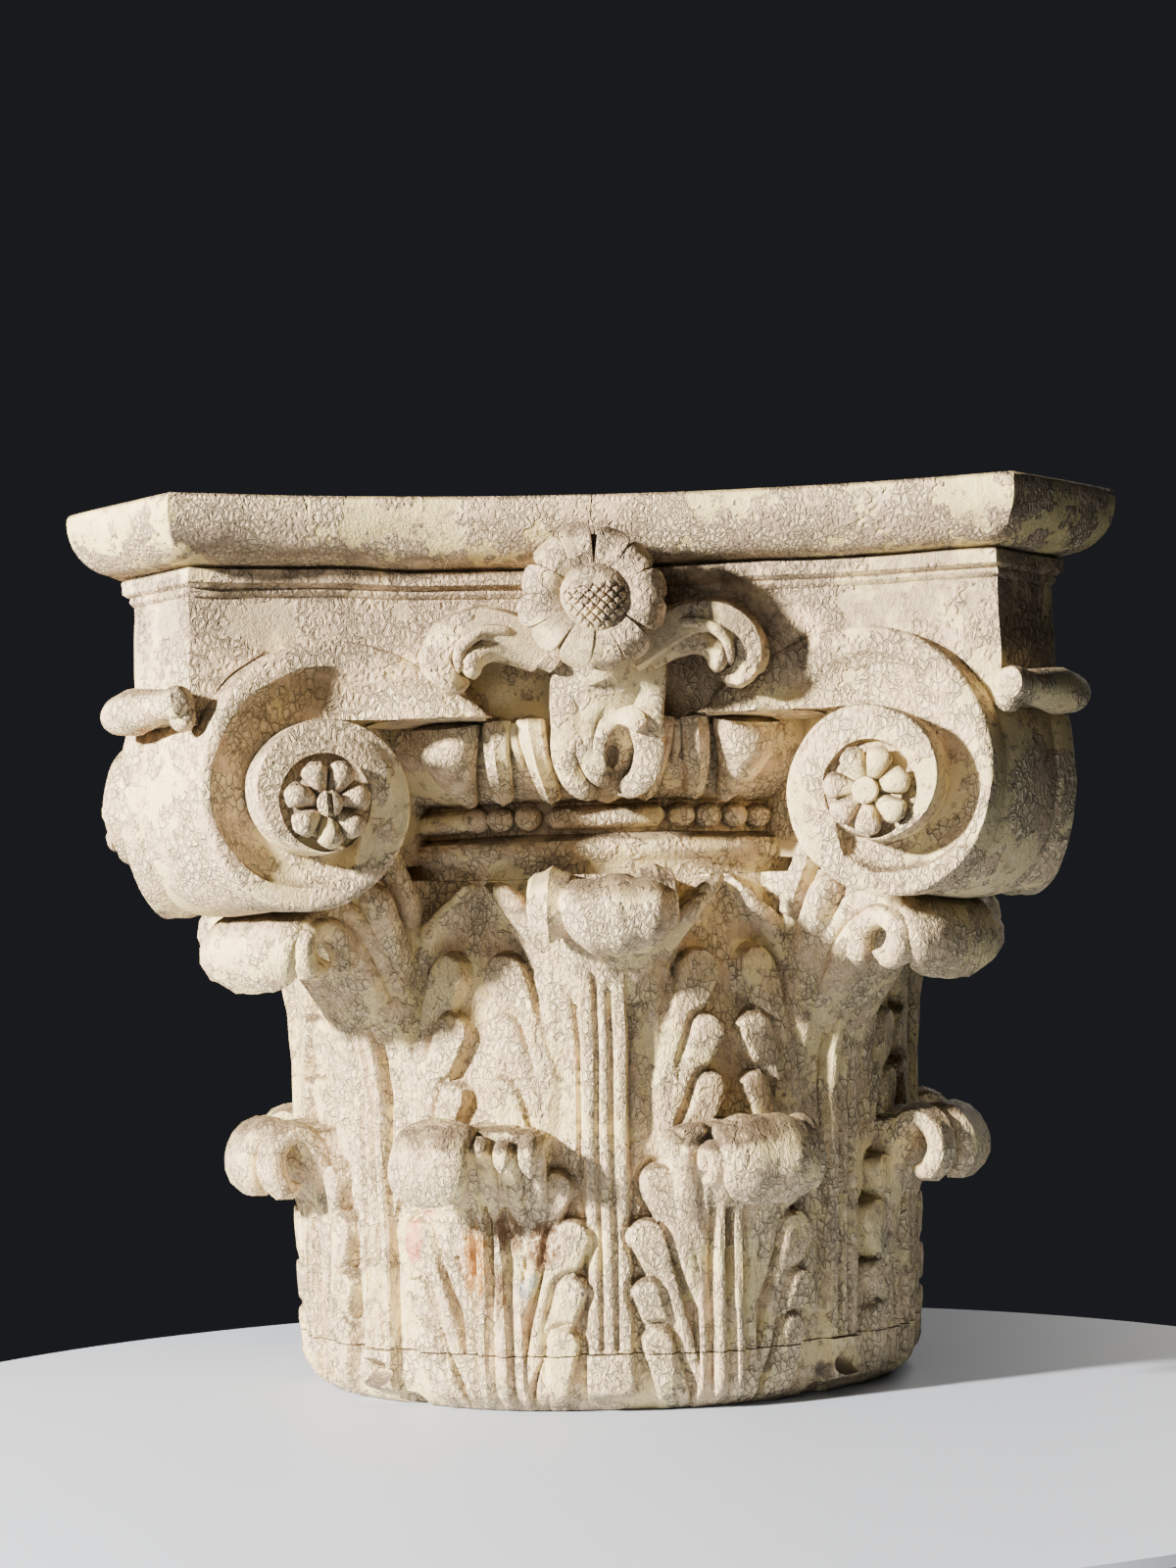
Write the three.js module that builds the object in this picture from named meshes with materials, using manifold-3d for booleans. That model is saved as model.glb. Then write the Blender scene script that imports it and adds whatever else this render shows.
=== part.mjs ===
// A carved timber capital of the Composite kind, an enriched Corinthian: a bell with two tiers of
// acanthus leaves, an astragal, an echinus of eggs and darts, four corner volutes, and a moulded
// abacus with a flower on each side. Millimetres, +Z up, origin at the centre of the flat underside,
// front towards -Y.
import * as THREE from "three";
import { mergeVertices } from "three/addons/utils/BufferGeometryUtils.js";
import Module from "manifold-3d";

const wasm = await Module();
wasm.setup();

const DEG = Math.PI / 180;
const DIAGONAL = Math.SQRT1_2;
const SEAM = 0.3; // open joint left between pieces

// Heights above the underside.
const HEIGHT = 486;
const FOOT_TOP = 31;
const BOARD_UNDER = 451;
const FASCIA_TOP = 437;
const DIE_UNDER = 372;
const LIP_HEIGHT = 304;
const ASTRAGAL_HEIGHT = 321;
const EGG_HEIGHT = 354;

// Abacus plan: distance from the axis to each cut corner, width of the cut, hollow of each side.
const ABACUS = { reach: 351, cut: 90, hollow: 38 };
const NECKING = { reach: 326, cut: 60, hollow: 36 };
const FASCIA = { reach: 322, cut: 48, hollow: 36 };

// Radii about the axis.
const FOOT_RADIUS = 173;
const BELL_RADIUS = 180;
const BELL_TOP_RADIUS = 164;
const ASTRAGAL_RADIUS = 167;
const ASTRAGAL_SWELL = 7.2;
const ECHINUS_RADIUS = 186;

// Volute: a spiral on each face of a wedge that points out under each abacus corner.
const WEDGE = { reach: 327, nose: 36, splay: 23 * DEG };
const SPIRAL = { reach: 268, height: 330, radius: 82, turnRatio: 0.5, squeeze: 0.93 };
const EYE = { baseRadius: 41, topRadius: 33, rise: 17, lift: 4 };
const PROUD_EYE = 26; // the eye that shows at the left of the photograph stands further out
const CHANNEL = { width: 19, depth: 9 };

// Leaves.
const LEAF_STEP = 45;
const LOWER_SHIFT = 22.5;

// Applied rosettes and their pegs.
const PETALS = 7;
const ROSETTE = { radius: 24, notch: 18, thick: 10, lift: -4 };
const PEG = { radius: 7.4, rise: 4.5, sides: 8 };

// Flower on the middle of each abacus side.
const FLOWER = { petals: 12, radius: 39, notch: 33, height: 430, face: 262, back: 206, dome: 19 };

const paint = (color) => new THREE.MeshStandardMaterial({ color, roughness: 0.85, metalness: 0 });
const PAINTED = paint(0xcfc4ae);
const PAINTED_BOARD = paint(0xc8bda0);
const PAINTED_FOOT = paint(0xd2c8b4);
const PAINTED_ROSETTE = paint(0xb9aa92);
const PEG_WOOD = paint(0xa89878);

// ---- Geometry to solid and back ----

function solidFrom(geometry) {
  const source = geometry.index ? geometry.toNonIndexed() : geometry;
  const bare = new THREE.BufferGeometry();
  bare.setAttribute("position", source.getAttribute("position"));
  const merged = mergeVertices(bare, 1e-3);
  const corners = merged.index.array;
  const kept = [];
  for (let i = 0; i < corners.length; i += 3) {
    const [a, b, c] = [corners[i], corners[i + 1], corners[i + 2]];
    if (a !== b && b !== c && c !== a) kept.push(a, b, c);
  }
  const build = (triVerts) =>
    new wasm.Manifold(
      new wasm.Mesh({
        numProp: 3,
        vertProperties: merged.attributes.position.array,
        triVerts: new Uint32Array(triVerts),
      }),
    );
  const made = build(kept);
  return made.volume() < 0 ? build(kept.reverse()) : made;
}

function geometryFrom(solid) {
  const mesh = solid.getMesh();
  const geometry = new THREE.BufferGeometry();
  geometry.setAttribute("position", new THREE.BufferAttribute(mesh.vertProperties, 3));
  geometry.setIndex(new THREE.BufferAttribute(mesh.triVerts, 1));
  return geometry;
}

const unite = (solids) => solids.reduce((whole, next) => whole.add(next));
const turned = (geometry, degrees) => solidFrom(geometry.clone().rotateZ(degrees * DEG));

// A closed skin over rings with the same number of points, with a fan over each end.
function loft(rings) {
  const points = [];
  const triangle = (a, b, c) => points.push(...a.toArray(), ...b.toArray(), ...c.toArray());
  const count = rings[0].length;
  for (let i = 0; i + 1 < rings.length; i++) {
    for (let j = 0; j < count; j++) {
      const k = (j + 1) % count;
      triangle(rings[i][j], rings[i][k], rings[i + 1][k]);
      triangle(rings[i][j], rings[i + 1][k], rings[i + 1][j]);
    }
  }
  const middle = (ring) =>
    ring.reduce((sum, p) => sum.add(p), new THREE.Vector3()).divideScalar(count);
  const first = rings[0];
  const last = rings[rings.length - 1];
  for (let j = 0; j < count; j++) {
    const k = (j + 1) % count;
    triangle(middle(first), first[k], first[j]);
    triangle(middle(last), last[j], last[k]);
  }
  const geometry = new THREE.BufferGeometry();
  geometry.setAttribute("position", new THREE.Float32BufferAttribute(points, 3));
  return geometry;
}

// A solid of revolution about Z from pairs of radius and height that start and end on the axis.
function revolve(profile, sides) {
  const outline = profile.map(([radius, height]) => new THREE.Vector2(radius, height));
  return new THREE.LatheGeometry(outline, sides).rotateX(Math.PI / 2);
}

// ---- Abacus ----

// The abacus plan at one height: four hollow sides joined by the cut corners.
function abacusRing({ reach, cut, hollow }, height, steps = 5) {
  const edge = (reach + cut / 2) * DIAGONAL;
  const half = (reach - cut / 2) * DIAGONAL;
  const radius = (half * half + hollow * hollow) / (2 * hollow);
  const ring = [];
  for (let side = 0; side < 4; side++) {
    for (let i = 0; i <= steps; i++) {
      const along = half * ((2 * i) / steps - 1);
      const out = edge - hollow + radius - Math.sqrt(radius * radius - along * along);
      ring.push(
        new THREE.Vector3(out, along, height).applyAxisAngle(
          new THREE.Vector3(0, 0, 1),
          (side * Math.PI) / 2,
        ),
      );
    }
  }
  return ring;
}

// One plan between two others.
function between(from, to, share) {
  const mix = (key) => from[key] + (to[key] - from[key]) * share;
  return { reach: mix("reach"), cut: mix("cut"), hollow: mix("hollow") };
}

// The ovolo board: a quarter round under a flat top.
function board() {
  const steps = 4;
  const under = BOARD_UNDER + SEAM / 2;
  const rings = [];
  for (let i = 0; i <= steps; i++) {
    const angle = (i / steps) * (Math.PI / 2);
    const height = under + (HEIGHT - 5 - under) * (1 - Math.cos(angle));
    rings.push(abacusRing(between(NECKING, ABACUS, Math.sin(angle)), height));
  }
  rings.push(abacusRing(ABACUS, HEIGHT));
  return solidFrom(loft(rings));
}

// The die under the board: a fillet above a tall plain fascia.
function die() {
  return solidFrom(
    loft([
      abacusRing({ ...FASCIA, reach: FASCIA.reach - 2 }, DIE_UNDER),
      abacusRing({ ...FASCIA, reach: FASCIA.reach + 1 }, DIE_UNDER + 24),
      abacusRing(FASCIA, FASCIA_TOP),
      abacusRing(NECKING, FASCIA_TOP + 5),
      abacusRing(NECKING, BOARD_UNDER - SEAM / 2),
    ]),
  );
}

// ---- Bell, astragal and echinus ----

function bell() {
  const foot = FOOT_TOP + SEAM / 2;
  return solidFrom(
    revolve(
      [
        [0, foot],
        [BELL_RADIUS, foot],
        [BELL_RADIUS - 6, 210],
        [BELL_TOP_RADIUS, LIP_HEIGHT - 12],
        [BELL_TOP_RADIUS + 6, LIP_HEIGHT - 5],
        [BELL_TOP_RADIUS + 6, LIP_HEIGHT + 3],
        [ASTRAGAL_RADIUS, ASTRAGAL_HEIGHT - ASTRAGAL_SWELL],
        [ASTRAGAL_RADIUS + ASTRAGAL_SWELL, ASTRAGAL_HEIGHT],
        [ASTRAGAL_RADIUS, ASTRAGAL_HEIGHT + ASTRAGAL_SWELL],
        [ECHINUS_RADIUS - 12, EGG_HEIGHT - 14],
        [ECHINUS_RADIUS, DIE_UNDER + 2],
        [0, DIE_UNDER + 2],
      ],
      26,
    ),
  );
}

// Two eggs with a forked dart between each and the middle.
function eggsAndDarts(azimuth) {
  const eggTurn = 27;
  const dartTurn = 14;
  const solids = [];
  for (const side of [-1, 1]) {
    const egg = new THREE.SphereGeometry(1, 8, 4).scale(20, 19, 26);
    egg.translate(ECHINUS_RADIUS - 14, 0, EGG_HEIGHT);
    solids.push(turned(egg, azimuth + side * eggTurn));
    solids.push(turned(dart(), azimuth + side * dartTurn));
  }
  return unite(solids);
}

function dart() {
  const halfWidth = 15;
  const shape = new THREE.Shape();
  shape.moveTo(-halfWidth, 331);
  shape.lineTo(halfWidth, 331);
  shape.lineTo(halfWidth - 3, DIE_UNDER);
  shape.lineTo(0, 350);
  shape.lineTo(3 - halfWidth, DIE_UNDER);
  shape.closePath();
  const geometry = new THREE.ExtrudeGeometry(shape, { depth: 24, bevelEnabled: false });
  geometry.rotateX(Math.PI / 2).rotateZ(Math.PI / 2);
  return geometry.translate(ECHINUS_RADIUS - 20, 0, 0);
}

// ---- Acanthus leaves ----

// A leaf swept along a line in the plane through the axis. Each station gives the distance from the
// axis, the height, the half width and the thickness there. Its front face has a hollow either side
// of a midrib, and it curls over at the top.
function leaf(stations, azimuth, steps) {
  const line = new THREE.CatmullRomCurve3(stations.map(([r, z]) => new THREE.Vector3(r, 0, z)));
  const value = (column, u) => {
    const at = u * (stations.length - 1);
    const low = Math.min(Math.floor(at), stations.length - 2);
    return THREE.MathUtils.lerp(stations[low][column], stations[low + 1][column], at - low);
  };
  const front = [-1, -0.62, 0, 0.62, 1];
  const swell = [0.1, 1, 0.55, 1, 0.1];
  const rings = [];
  for (let i = 0; i <= steps; i++) {
    const u = i / steps;
    const point = line.getPoint(u);
    const tangent = line.getTangent(u);
    const normal = new THREE.Vector3(tangent.z, 0, -tangent.x);
    const halfWidth = value(2, u);
    const thick = value(3, u);
    const at = (across, lift) => {
      const p = point.clone().addScaledVector(normal, lift);
      return p.applyAxisAngle(new THREE.Vector3(0, 0, 1), (across * halfWidth) / point.x);
    };
    const ring = front.map((across, j) => at(across, thick * (swell[j] - 0.4)));
    ring.push(at(0, -thick * 0.6));
    rings.push(ring);
  }
  return turned(loft(rings), azimuth);
}

// Stations are [distance from the axis, height, half width, thickness].
const LOWER_LEAF = [
  [BELL_RADIUS - 2, FOOT_TOP + 2, 30, 12],
  [BELL_RADIUS + 1, 60, 44, 13],
  [BELL_RADIUS + 2, 90, 46, 14],
  [BELL_RADIUS + 4, 118, 38, 15],
  [BELL_RADIUS + 10, 140, 36, 16],
  [BELL_RADIUS + 25, 152, 40, 16],
  [BELL_RADIUS + 43, 145, 42, 15],
  [BELL_RADIUS + 47, 128, 34, 13],
  [BELL_RADIUS + 39, 118, 22, 9],
];
const UPPER_LEAF = [
  [BELL_RADIUS - 3, FOOT_TOP + 2, 12, 12],
  [BELL_RADIUS - 2, 90, 14, 13],
  [BELL_RADIUS - 3, 130, 40, 13],
  [BELL_RADIUS - 5, 180, 60, 13],
  [BELL_RADIUS - 6, 225, 60, 13],
  [BELL_RADIUS - 1, 258, 40, 15],
  [BELL_RADIUS + 15, 282, 38, 15],
  [BELL_RADIUS + 37, 283, 42, 15],
  [BELL_RADIUS + 45, 266, 34, 13],
  [BELL_RADIUS + 36, 254, 22, 9],
];
const CORNER_LEAF = [
  [BELL_RADIUS - 3, FOOT_TOP + 2, 12, 12],
  [BELL_RADIUS - 2, 90, 14, 13],
  [BELL_RADIUS - 2, 130, 40, 13],
  [BELL_RADIUS - 2, 180, 60, 14],
  [BELL_RADIUS + 4, 220, 54, 16],
  [BELL_RADIUS + 22, 252, 44, 20],
  [BELL_RADIUS + 52, 268, 42, 22],
  [BELL_RADIUS + 84, 262, 44, 22],
  [BELL_RADIUS + 88, 242, 40, 18],
  [BELL_RADIUS + 72, 234, 26, 12],
];

function leaves() {
  const solids = [];
  for (let i = 0; i < 8; i++) {
    const azimuth = i * LEAF_STEP;
    const isCorner = i % 2 === 1;
    solids.push(leaf(isCorner ? CORNER_LEAF : UPPER_LEAF, azimuth, 7));
    solids.push(leaf(LOWER_LEAF, azimuth + LOWER_SHIFT, 6));
  }
  return unite(solids);
}

// ---- Corner volutes ----

// Distance of the spiral from its eye after a number of turns that start straight up.
const spiralRadius = (turns) => SPIRAL.radius * SPIRAL.turnRatio ** turns;

// A point of the spiral, scaled towards the eye, as distance from the axis and height.
function spiralPoint(turns, scale = 1) {
  const radius = spiralRadius(turns) * scale;
  const angle = turns * 2 * Math.PI;
  return new THREE.Vector2(
    SPIRAL.reach + radius * SPIRAL.squeeze * Math.sin(angle),
    SPIRAL.height + radius * Math.cos(angle),
  );
}

// Half the wedge's thickness at a distance from the axis.
const wedgeHalf = (reach) => WEDGE.nose + Math.tan(WEDGE.splay) * (WEDGE.reach - reach);

// Moves a point of a volute's face, with a rise above it, into the corner's frame.
function onFace(reach, height, rise) {
  return new THREE.Vector3(
    reach + rise * Math.sin(WEDGE.splay),
    wedgeHalf(reach) + rise * Math.cos(WEDGE.splay),
    height,
  );
}

// The volute's outline, seen square to the corner's diagonal, drawn right through the wedge: the
// spiral's outer turn, and the band that runs in from its top above the eggs.
function voluteBlock() {
  const shape = new THREE.Shape();
  const steps = 12;
  const top = spiralPoint(0);
  shape.moveTo(150, DIE_UNDER);
  shape.lineTo(150, DIE_UNDER + 14);
  shape.lineTo(top.x - 60, top.y - 10);
  for (let i = 0; i <= steps; i++) {
    const p = spiralPoint((0.95 * i) / steps);
    shape.lineTo(p.x, p.y);
  }
  shape.closePath();
  const reach = 140;
  const geometry = new THREE.ExtrudeGeometry(shape, { depth: 2 * reach, bevelEnabled: false });
  return solidFrom(geometry.rotateX(Math.PI / 2).translate(0, reach, 0));
}

// The mass behind the two faces that ties the volute to the bell.
function voluteCore() {
  const core = new THREE.BoxGeometry(110, 92, 88);
  return solidFrom(core.translate(205, 0, DIE_UNDER - 42));
}

function wedge() {
  const inner = 140;
  const shape = new THREE.Shape();
  shape.moveTo(inner, -wedgeHalf(inner));
  shape.lineTo(WEDGE.reach, -WEDGE.nose);
  shape.lineTo(WEDGE.reach + 4, 0);
  shape.lineTo(WEDGE.reach, WEDGE.nose);
  shape.lineTo(inner, wedgeHalf(inner));
  shape.closePath();
  const geometry = new THREE.ExtrudeGeometry(shape, { depth: 170, bevelEnabled: false });
  return solidFrom(geometry.translate(0, 0, 255));
}

// The hollow channel that winds in between the turns of the spiral, as a cutter.
function channelCutter() {
  const steps = 10;
  const rings = [];
  for (let i = 0; i <= steps; i++) {
    const turns = -0.06 + (0.98 * i) / steps;
    const outer = spiralPoint(turns, 0.87);
    const inner = spiralPoint(turns, 0.87 - CHANNEL.width / spiralRadius(turns) / 1.05);
    const middle = outer.clone().add(inner).divideScalar(2);
    rings.push([
      onFace(outer.x, outer.y, 3),
      onFace(middle.x, middle.y, -CHANNEL.depth),
      onFace(inner.x, inner.y, 3),
    ]);
  }
  return solidFrom(loft(rings));
}

const eyeRise = (corner, face) => (corner === "front_left" && face < 0 ? PROUD_EYE : EYE.rise);

// The eye stands out from the face like a snail's shell.
function eyeBoss(rise) {
  const sides = 10;
  const ring = (radius, out) => {
    const points = [];
    for (let i = 0; i < sides; i++) {
      const angle = (i / sides) * 2 * Math.PI;
      const reach = SPIRAL.reach + radius * SPIRAL.squeeze * Math.cos(angle);
      points.push(onFace(reach, SPIRAL.height + EYE.lift + radius * Math.sin(angle), out));
    }
    return points;
  };
  return solidFrom(loft([ring(EYE.baseRadius, -12), ring(EYE.topRadius, rise)]));
}

// The little roll that lies across the abacus corner on top of the volute.
function cornerRoll() {
  const profile = [
    [0, -34],
    [12, -32],
    [8.5, -15],
    [8.5, 14],
    [10, 32],
    [0, 32],
  ];
  return solidFrom(revolve(profile, 8).rotateX(Math.PI / 2).translate(332, 0, 378));
}

const mirrored = (solid) => solid.mirror([0, 1, 0]);

function volute(corner, azimuth) {
  const cutter = channelCutter();
  const body = voluteBlock()
    .intersect(wedge())
    .subtract(cutter)
    .subtract(mirrored(cutter))
    .add(eyeBoss(eyeRise(corner, 1)))
    .add(mirrored(eyeBoss(eyeRise(corner, -1))))
    .add(voluteCore())
    .add(cornerRoll());
  return body.rotate([0, 0, azimuth]);
}

// ---- Rosettes and pegs ----

// A flat flower outline of round petals.
function petalShape(petals, radius, notch) {
  const shape = new THREE.Shape();
  for (let i = 0; i <= petals; i++) {
    const angle = (i / petals) * 2 * Math.PI;
    const half = Math.PI / petals;
    const at = (r, a) => [r * Math.cos(a), r * Math.sin(a)];
    if (i === 0) {
      shape.moveTo(...at(notch, -half));
      continue;
    }
    const middle = angle - 2 * half;
    shape.lineTo(...at(radius, middle - half * 0.4));
    shape.lineTo(...at(radius, middle + half * 0.4));
    if (i < petals) shape.lineTo(...at(notch, middle + half));
  }
  shape.closePath();
  return shape;
}

// Places a geometry that stands on the XY plane onto the eye of a volute's face.
function placeOnEye(geometry, rise, face) {
  geometry.rotateX(-Math.PI / 2).rotateZ(-WEDGE.splay);
  const at = onFace(SPIRAL.reach, SPIRAL.height + ROSETTE.lift, rise);
  const solid = solidFrom(geometry.translate(at.x, at.y, at.z));
  return geometryFrom(face > 0 ? solid : mirrored(solid));
}

function rosetteGeometry(corner, face) {
  const shape = petalShape(PETALS, ROSETTE.radius, ROSETTE.notch);
  const flat = new THREE.ExtrudeGeometry(shape, { depth: ROSETTE.thick, bevelEnabled: false });
  return placeOnEye(flat, eyeRise(corner, face) + SEAM, face);
}

function pegGeometry(corner, face) {
  const profile = [
    [0, 0],
    [PEG.radius, 0],
    [PEG.radius * 0.9, PEG.rise * 0.7],
    [0, PEG.rise],
  ];
  const rise = eyeRise(corner, face) + SEAM + ROSETTE.thick + SEAM;
  return placeOnEye(revolve(profile, PEG.sides), rise, face);
}

// ---- Flower, stem and side scrolls on each side of the abacus ----

// Turns a geometry that faces +Z, with +Y up, to face the azimuth 0 side at a distance.
const faceOut = (geometry, distance, height) =>
  geometry.rotateX(Math.PI / 2).rotateZ(Math.PI / 2).translate(distance, 0, height);

function flower(azimuth) {
  const depth = FLOWER.face - FLOWER.back;
  const shape = petalShape(FLOWER.petals, FLOWER.radius, FLOWER.notch);
  const petals = new THREE.ExtrudeGeometry(shape, { depth, bevelEnabled: false });
  const dome = new THREE.SphereGeometry(1, 8, 5).scale(FLOWER.dome, FLOWER.dome, 12);
  return unite([
    turned(faceOut(petals, FLOWER.back, FLOWER.height), azimuth),
    turned(faceOut(dome, FLOWER.face, FLOWER.height), azimuth),
  ]);
}

// The stem widens down from the flower into a leaf over the middle of the echinus.
function stem(azimuth) {
  const stations = [
    [404, 34, 206, 236],
    [388, 26, 200, 232],
    [368, 30, 186, 222],
    [345, 30, 170, 208],
    [328, 20, 158, 186],
  ];
  const rings = stations.map(([height, half, back, front]) => [
    new THREE.Vector3(back, -half, height),
    new THREE.Vector3(front - 8, -half * 0.8, height),
    new THREE.Vector3(front, 0, height),
    new THREE.Vector3(front - 8, half * 0.8, height),
    new THREE.Vector3(back, half, height),
  ]);
  return turned(loft(rings), azimuth);
}

// A leaf that arches out beside the flower and curls back under.
function sideScroll(azimuth, side) {
  const path = new THREE.CatmullRomCurve3([
    new THREE.Vector3(0, 28, 404),
    new THREE.Vector3(0, 44, 422),
    new THREE.Vector3(0, 66, 426),
    new THREE.Vector3(0, 84, 412),
    new THREE.Vector3(0, 82, 393),
    new THREE.Vector3(0, 68, 390),
  ]);
  const steps = 5;
  const back = 204;
  const rings = [];
  for (let i = 0; i <= steps; i++) {
    const u = i / steps;
    const point = path.getPoint(u);
    const tangent = path.getTangent(u);
    const normal = new THREE.Vector3(0, -tangent.z, tangent.y);
    const half = 11 - 4 * u;
    const front = 240 - 6 * u;
    const at = (out, lift) =>
      new THREE.Vector3(out, 0, 0).add(point).addScaledVector(normal, lift);
    rings.push([
      at(back, -half),
      at(front - 6, -half),
      at(front, 0),
      at(front - 6, half),
      at(back, half),
    ]);
  }
  const geometry = loft(rings).scale(1, side, 1);
  return turned(geometry, azimuth);
}

// ---- Foot ring ----

function foot() {
  const top = FOOT_TOP - SEAM / 2;
  const ring = solidFrom(
    revolve(
      [
        [0, 0],
        [FOOT_RADIUS - 3, 0],
        [FOOT_RADIUS + 2, 4],
        [BELL_RADIUS + 1, 14],
        [BELL_RADIUS + 2, top],
        [0, top],
      ],
      32,
    ),
  );
  // Small arched notches worn through the bottom edge.
  const notches = [-124, -43].map((azimuth) => {
    const notch = new THREE.CylinderGeometry(9, 9, 30, 10).rotateZ(Math.PI / 2);
    return turned(notch.translate(FOOT_RADIUS + 2, 0, 0), azimuth);
  });
  return ring.subtract(unite(notches));
}

// ---- Assembly ----

const SIDES = [-90, 0, 90, 180];
const CORNERS = [
  ["front_left", -135],
  ["front_right", -45],
  ["back_right", 45],
  ["back_left", 135],
];

const flowers = unite(SIDES.map(flower));
const upperHalf = solidFrom(
  new THREE.BoxGeometry(600, 600, 100).translate(0, 0, BOARD_UNDER + SEAM / 2 + 50),
);
const lowerHalf = solidFrom(
  new THREE.BoxGeometry(600, 600, 400).translate(0, 0, BOARD_UNDER - SEAM / 2 - 200),
);
const footSpace = solidFrom(
  new THREE.BoxGeometry(600, 600, 100).translate(0, 0, FOOT_TOP + SEAM / 2 - 50),
);

const block = unite([
  bell(),
  die(),
  leaves(),
  ...CORNERS.map(([corner, azimuth]) => volute(corner, azimuth)),
  ...SIDES.flatMap((azimuth) => [
    eggsAndDarts(azimuth),
    stem(azimuth),
    sideScroll(azimuth, -1),
    sideScroll(azimuth, 1),
  ]),
])
  .subtract(footSpace)
  .add(flowers.intersect(lowerHalf));

const capital = new THREE.Group();
capital.name = "corinthian_capital";

function addPiece(name, geometry, material, azimuth = 0) {
  const mesh = new THREE.Mesh(geometry, material);
  mesh.name = name;
  mesh.rotation.z = azimuth * DEG;
  capital.add(mesh);
}

addPiece("abacus_board", geometryFrom(board().add(flowers.intersect(upperHalf))), PAINTED_BOARD);
addPiece("capital_block", geometryFrom(block), PAINTED);
addPiece("foot_ring", geometryFrom(foot()), PAINTED_FOOT);

// Each corner has two volute faces. The rosette that faced right at the front corner is lost.
for (const [corner, azimuth] of CORNERS) {
  for (const face of [-1, 1]) {
    const isLost = corner === "front_right" && face > 0;
    if (isLost) continue;
    const label = corner + (face > 0 ? "_a" : "_b");
    addPiece("rosette_" + label, rosetteGeometry(corner, face), PAINTED_ROSETTE, azimuth);
    addPiece("peg_" + label, pegGeometry(corner, face), PEG_WOOD, azimuth);
  }
}

export default capital;
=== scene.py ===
"""A carved, painted timber capital of the Composite kind on a pale floor.

Shapes are worked out in millimetres about the capital's upright axis and turned into metres when a
mesh is made. Carved elements are closed solids joined by booleans, into one mesh for each physical
piece: the abacus board, the carved block, the foot ring, the rosettes and their pegs. Thinning out
the block's joined mesh leaves a few open edges in it.
"""

import functools
import math

import bmesh
import bpy
import numpy as np
from mathutils import Matrix, Vector


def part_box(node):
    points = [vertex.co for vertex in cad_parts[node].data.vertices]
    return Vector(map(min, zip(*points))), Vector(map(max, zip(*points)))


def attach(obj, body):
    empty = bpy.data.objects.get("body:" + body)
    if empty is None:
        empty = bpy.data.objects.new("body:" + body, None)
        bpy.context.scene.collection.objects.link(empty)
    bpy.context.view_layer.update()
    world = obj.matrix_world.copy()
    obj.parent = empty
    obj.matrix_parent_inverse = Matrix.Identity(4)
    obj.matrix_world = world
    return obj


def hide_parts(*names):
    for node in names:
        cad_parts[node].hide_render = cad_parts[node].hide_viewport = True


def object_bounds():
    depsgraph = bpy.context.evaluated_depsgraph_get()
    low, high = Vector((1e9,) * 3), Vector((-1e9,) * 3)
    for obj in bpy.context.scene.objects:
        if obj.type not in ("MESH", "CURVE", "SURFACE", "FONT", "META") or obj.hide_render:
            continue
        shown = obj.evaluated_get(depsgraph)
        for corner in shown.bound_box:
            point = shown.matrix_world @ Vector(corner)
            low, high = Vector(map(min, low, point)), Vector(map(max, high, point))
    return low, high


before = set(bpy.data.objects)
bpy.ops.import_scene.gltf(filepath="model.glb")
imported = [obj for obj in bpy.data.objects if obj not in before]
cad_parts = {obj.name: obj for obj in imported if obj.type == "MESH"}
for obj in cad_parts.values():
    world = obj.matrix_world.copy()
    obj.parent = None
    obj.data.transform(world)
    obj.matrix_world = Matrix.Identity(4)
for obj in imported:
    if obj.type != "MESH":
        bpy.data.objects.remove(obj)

cad_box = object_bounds()

MM = 0.001
TURN = 2 * math.pi
DEG = math.pi / 180

# ---- Driving sizes, millimetres ----

SEAM = 0.3  # the gap between two pieces, with the joint's own height at its middle
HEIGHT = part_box("abacus_board")[1][2] / MM
BOARD_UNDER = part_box("abacus_board")[0][2] / MM - SEAM / 2
FOOT_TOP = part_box("foot_ring")[1][2] / MM + SEAM / 2

# Plans of the abacus: reach to a cut corner, the corner's length and the hollow of a side.
ABACUS = dict(reach=351, cut=90, hollow=38)
NECKING = dict(reach=326, cut=60, hollow=36)
NECKING_FOOT = dict(reach=323, cut=56, hollow=36)
FASCIA = dict(reach=322, cut=48, hollow=36)
PLAN_STEPS = 64
CORNER_STEPS = 6
FASCIA_TOP = 437
DIE_UNDER = 372

BEAD_HEIGHT = 321
BEAD_RING = 167
BEAD_RADIUS = 7.2
GROUND_RADIUS = 177
JOINT_CHAMFER = 0.9  # lets the joint over the foot show as a dark line
ARC_RADIUS = 185  # distances round the bell are arcs at this radius
BELL_CUT = 288  # the carved bell ends here and the plain turned top begins

SPIRAL = dict(reach=268, height=330, radius=83, squeeze=0.93)
NOSE_REACH = 327  # a corner volute's outer end
NOSE_HALF = 36  # and half its thickness there
SPLAY = 23 * DEG  # between a volute's face and the plane through its corner

SIDES = (-90, 0, 90, 180)
LOWER_LEAVES = (-157.5, -110.2, -69.8, -22.5, 22.5, 67.5, 112.5, 157.5)
FRONT_LEFT_LEAF, FRONT_RIGHT_LEAF = LOWER_LEAVES[1:3]
CORNERS = (("front_left", -135), ("front_right", -45), ("back_right", 45), ("back_left", 135))


# ---- Meshes, solids and booleans ----

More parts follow.
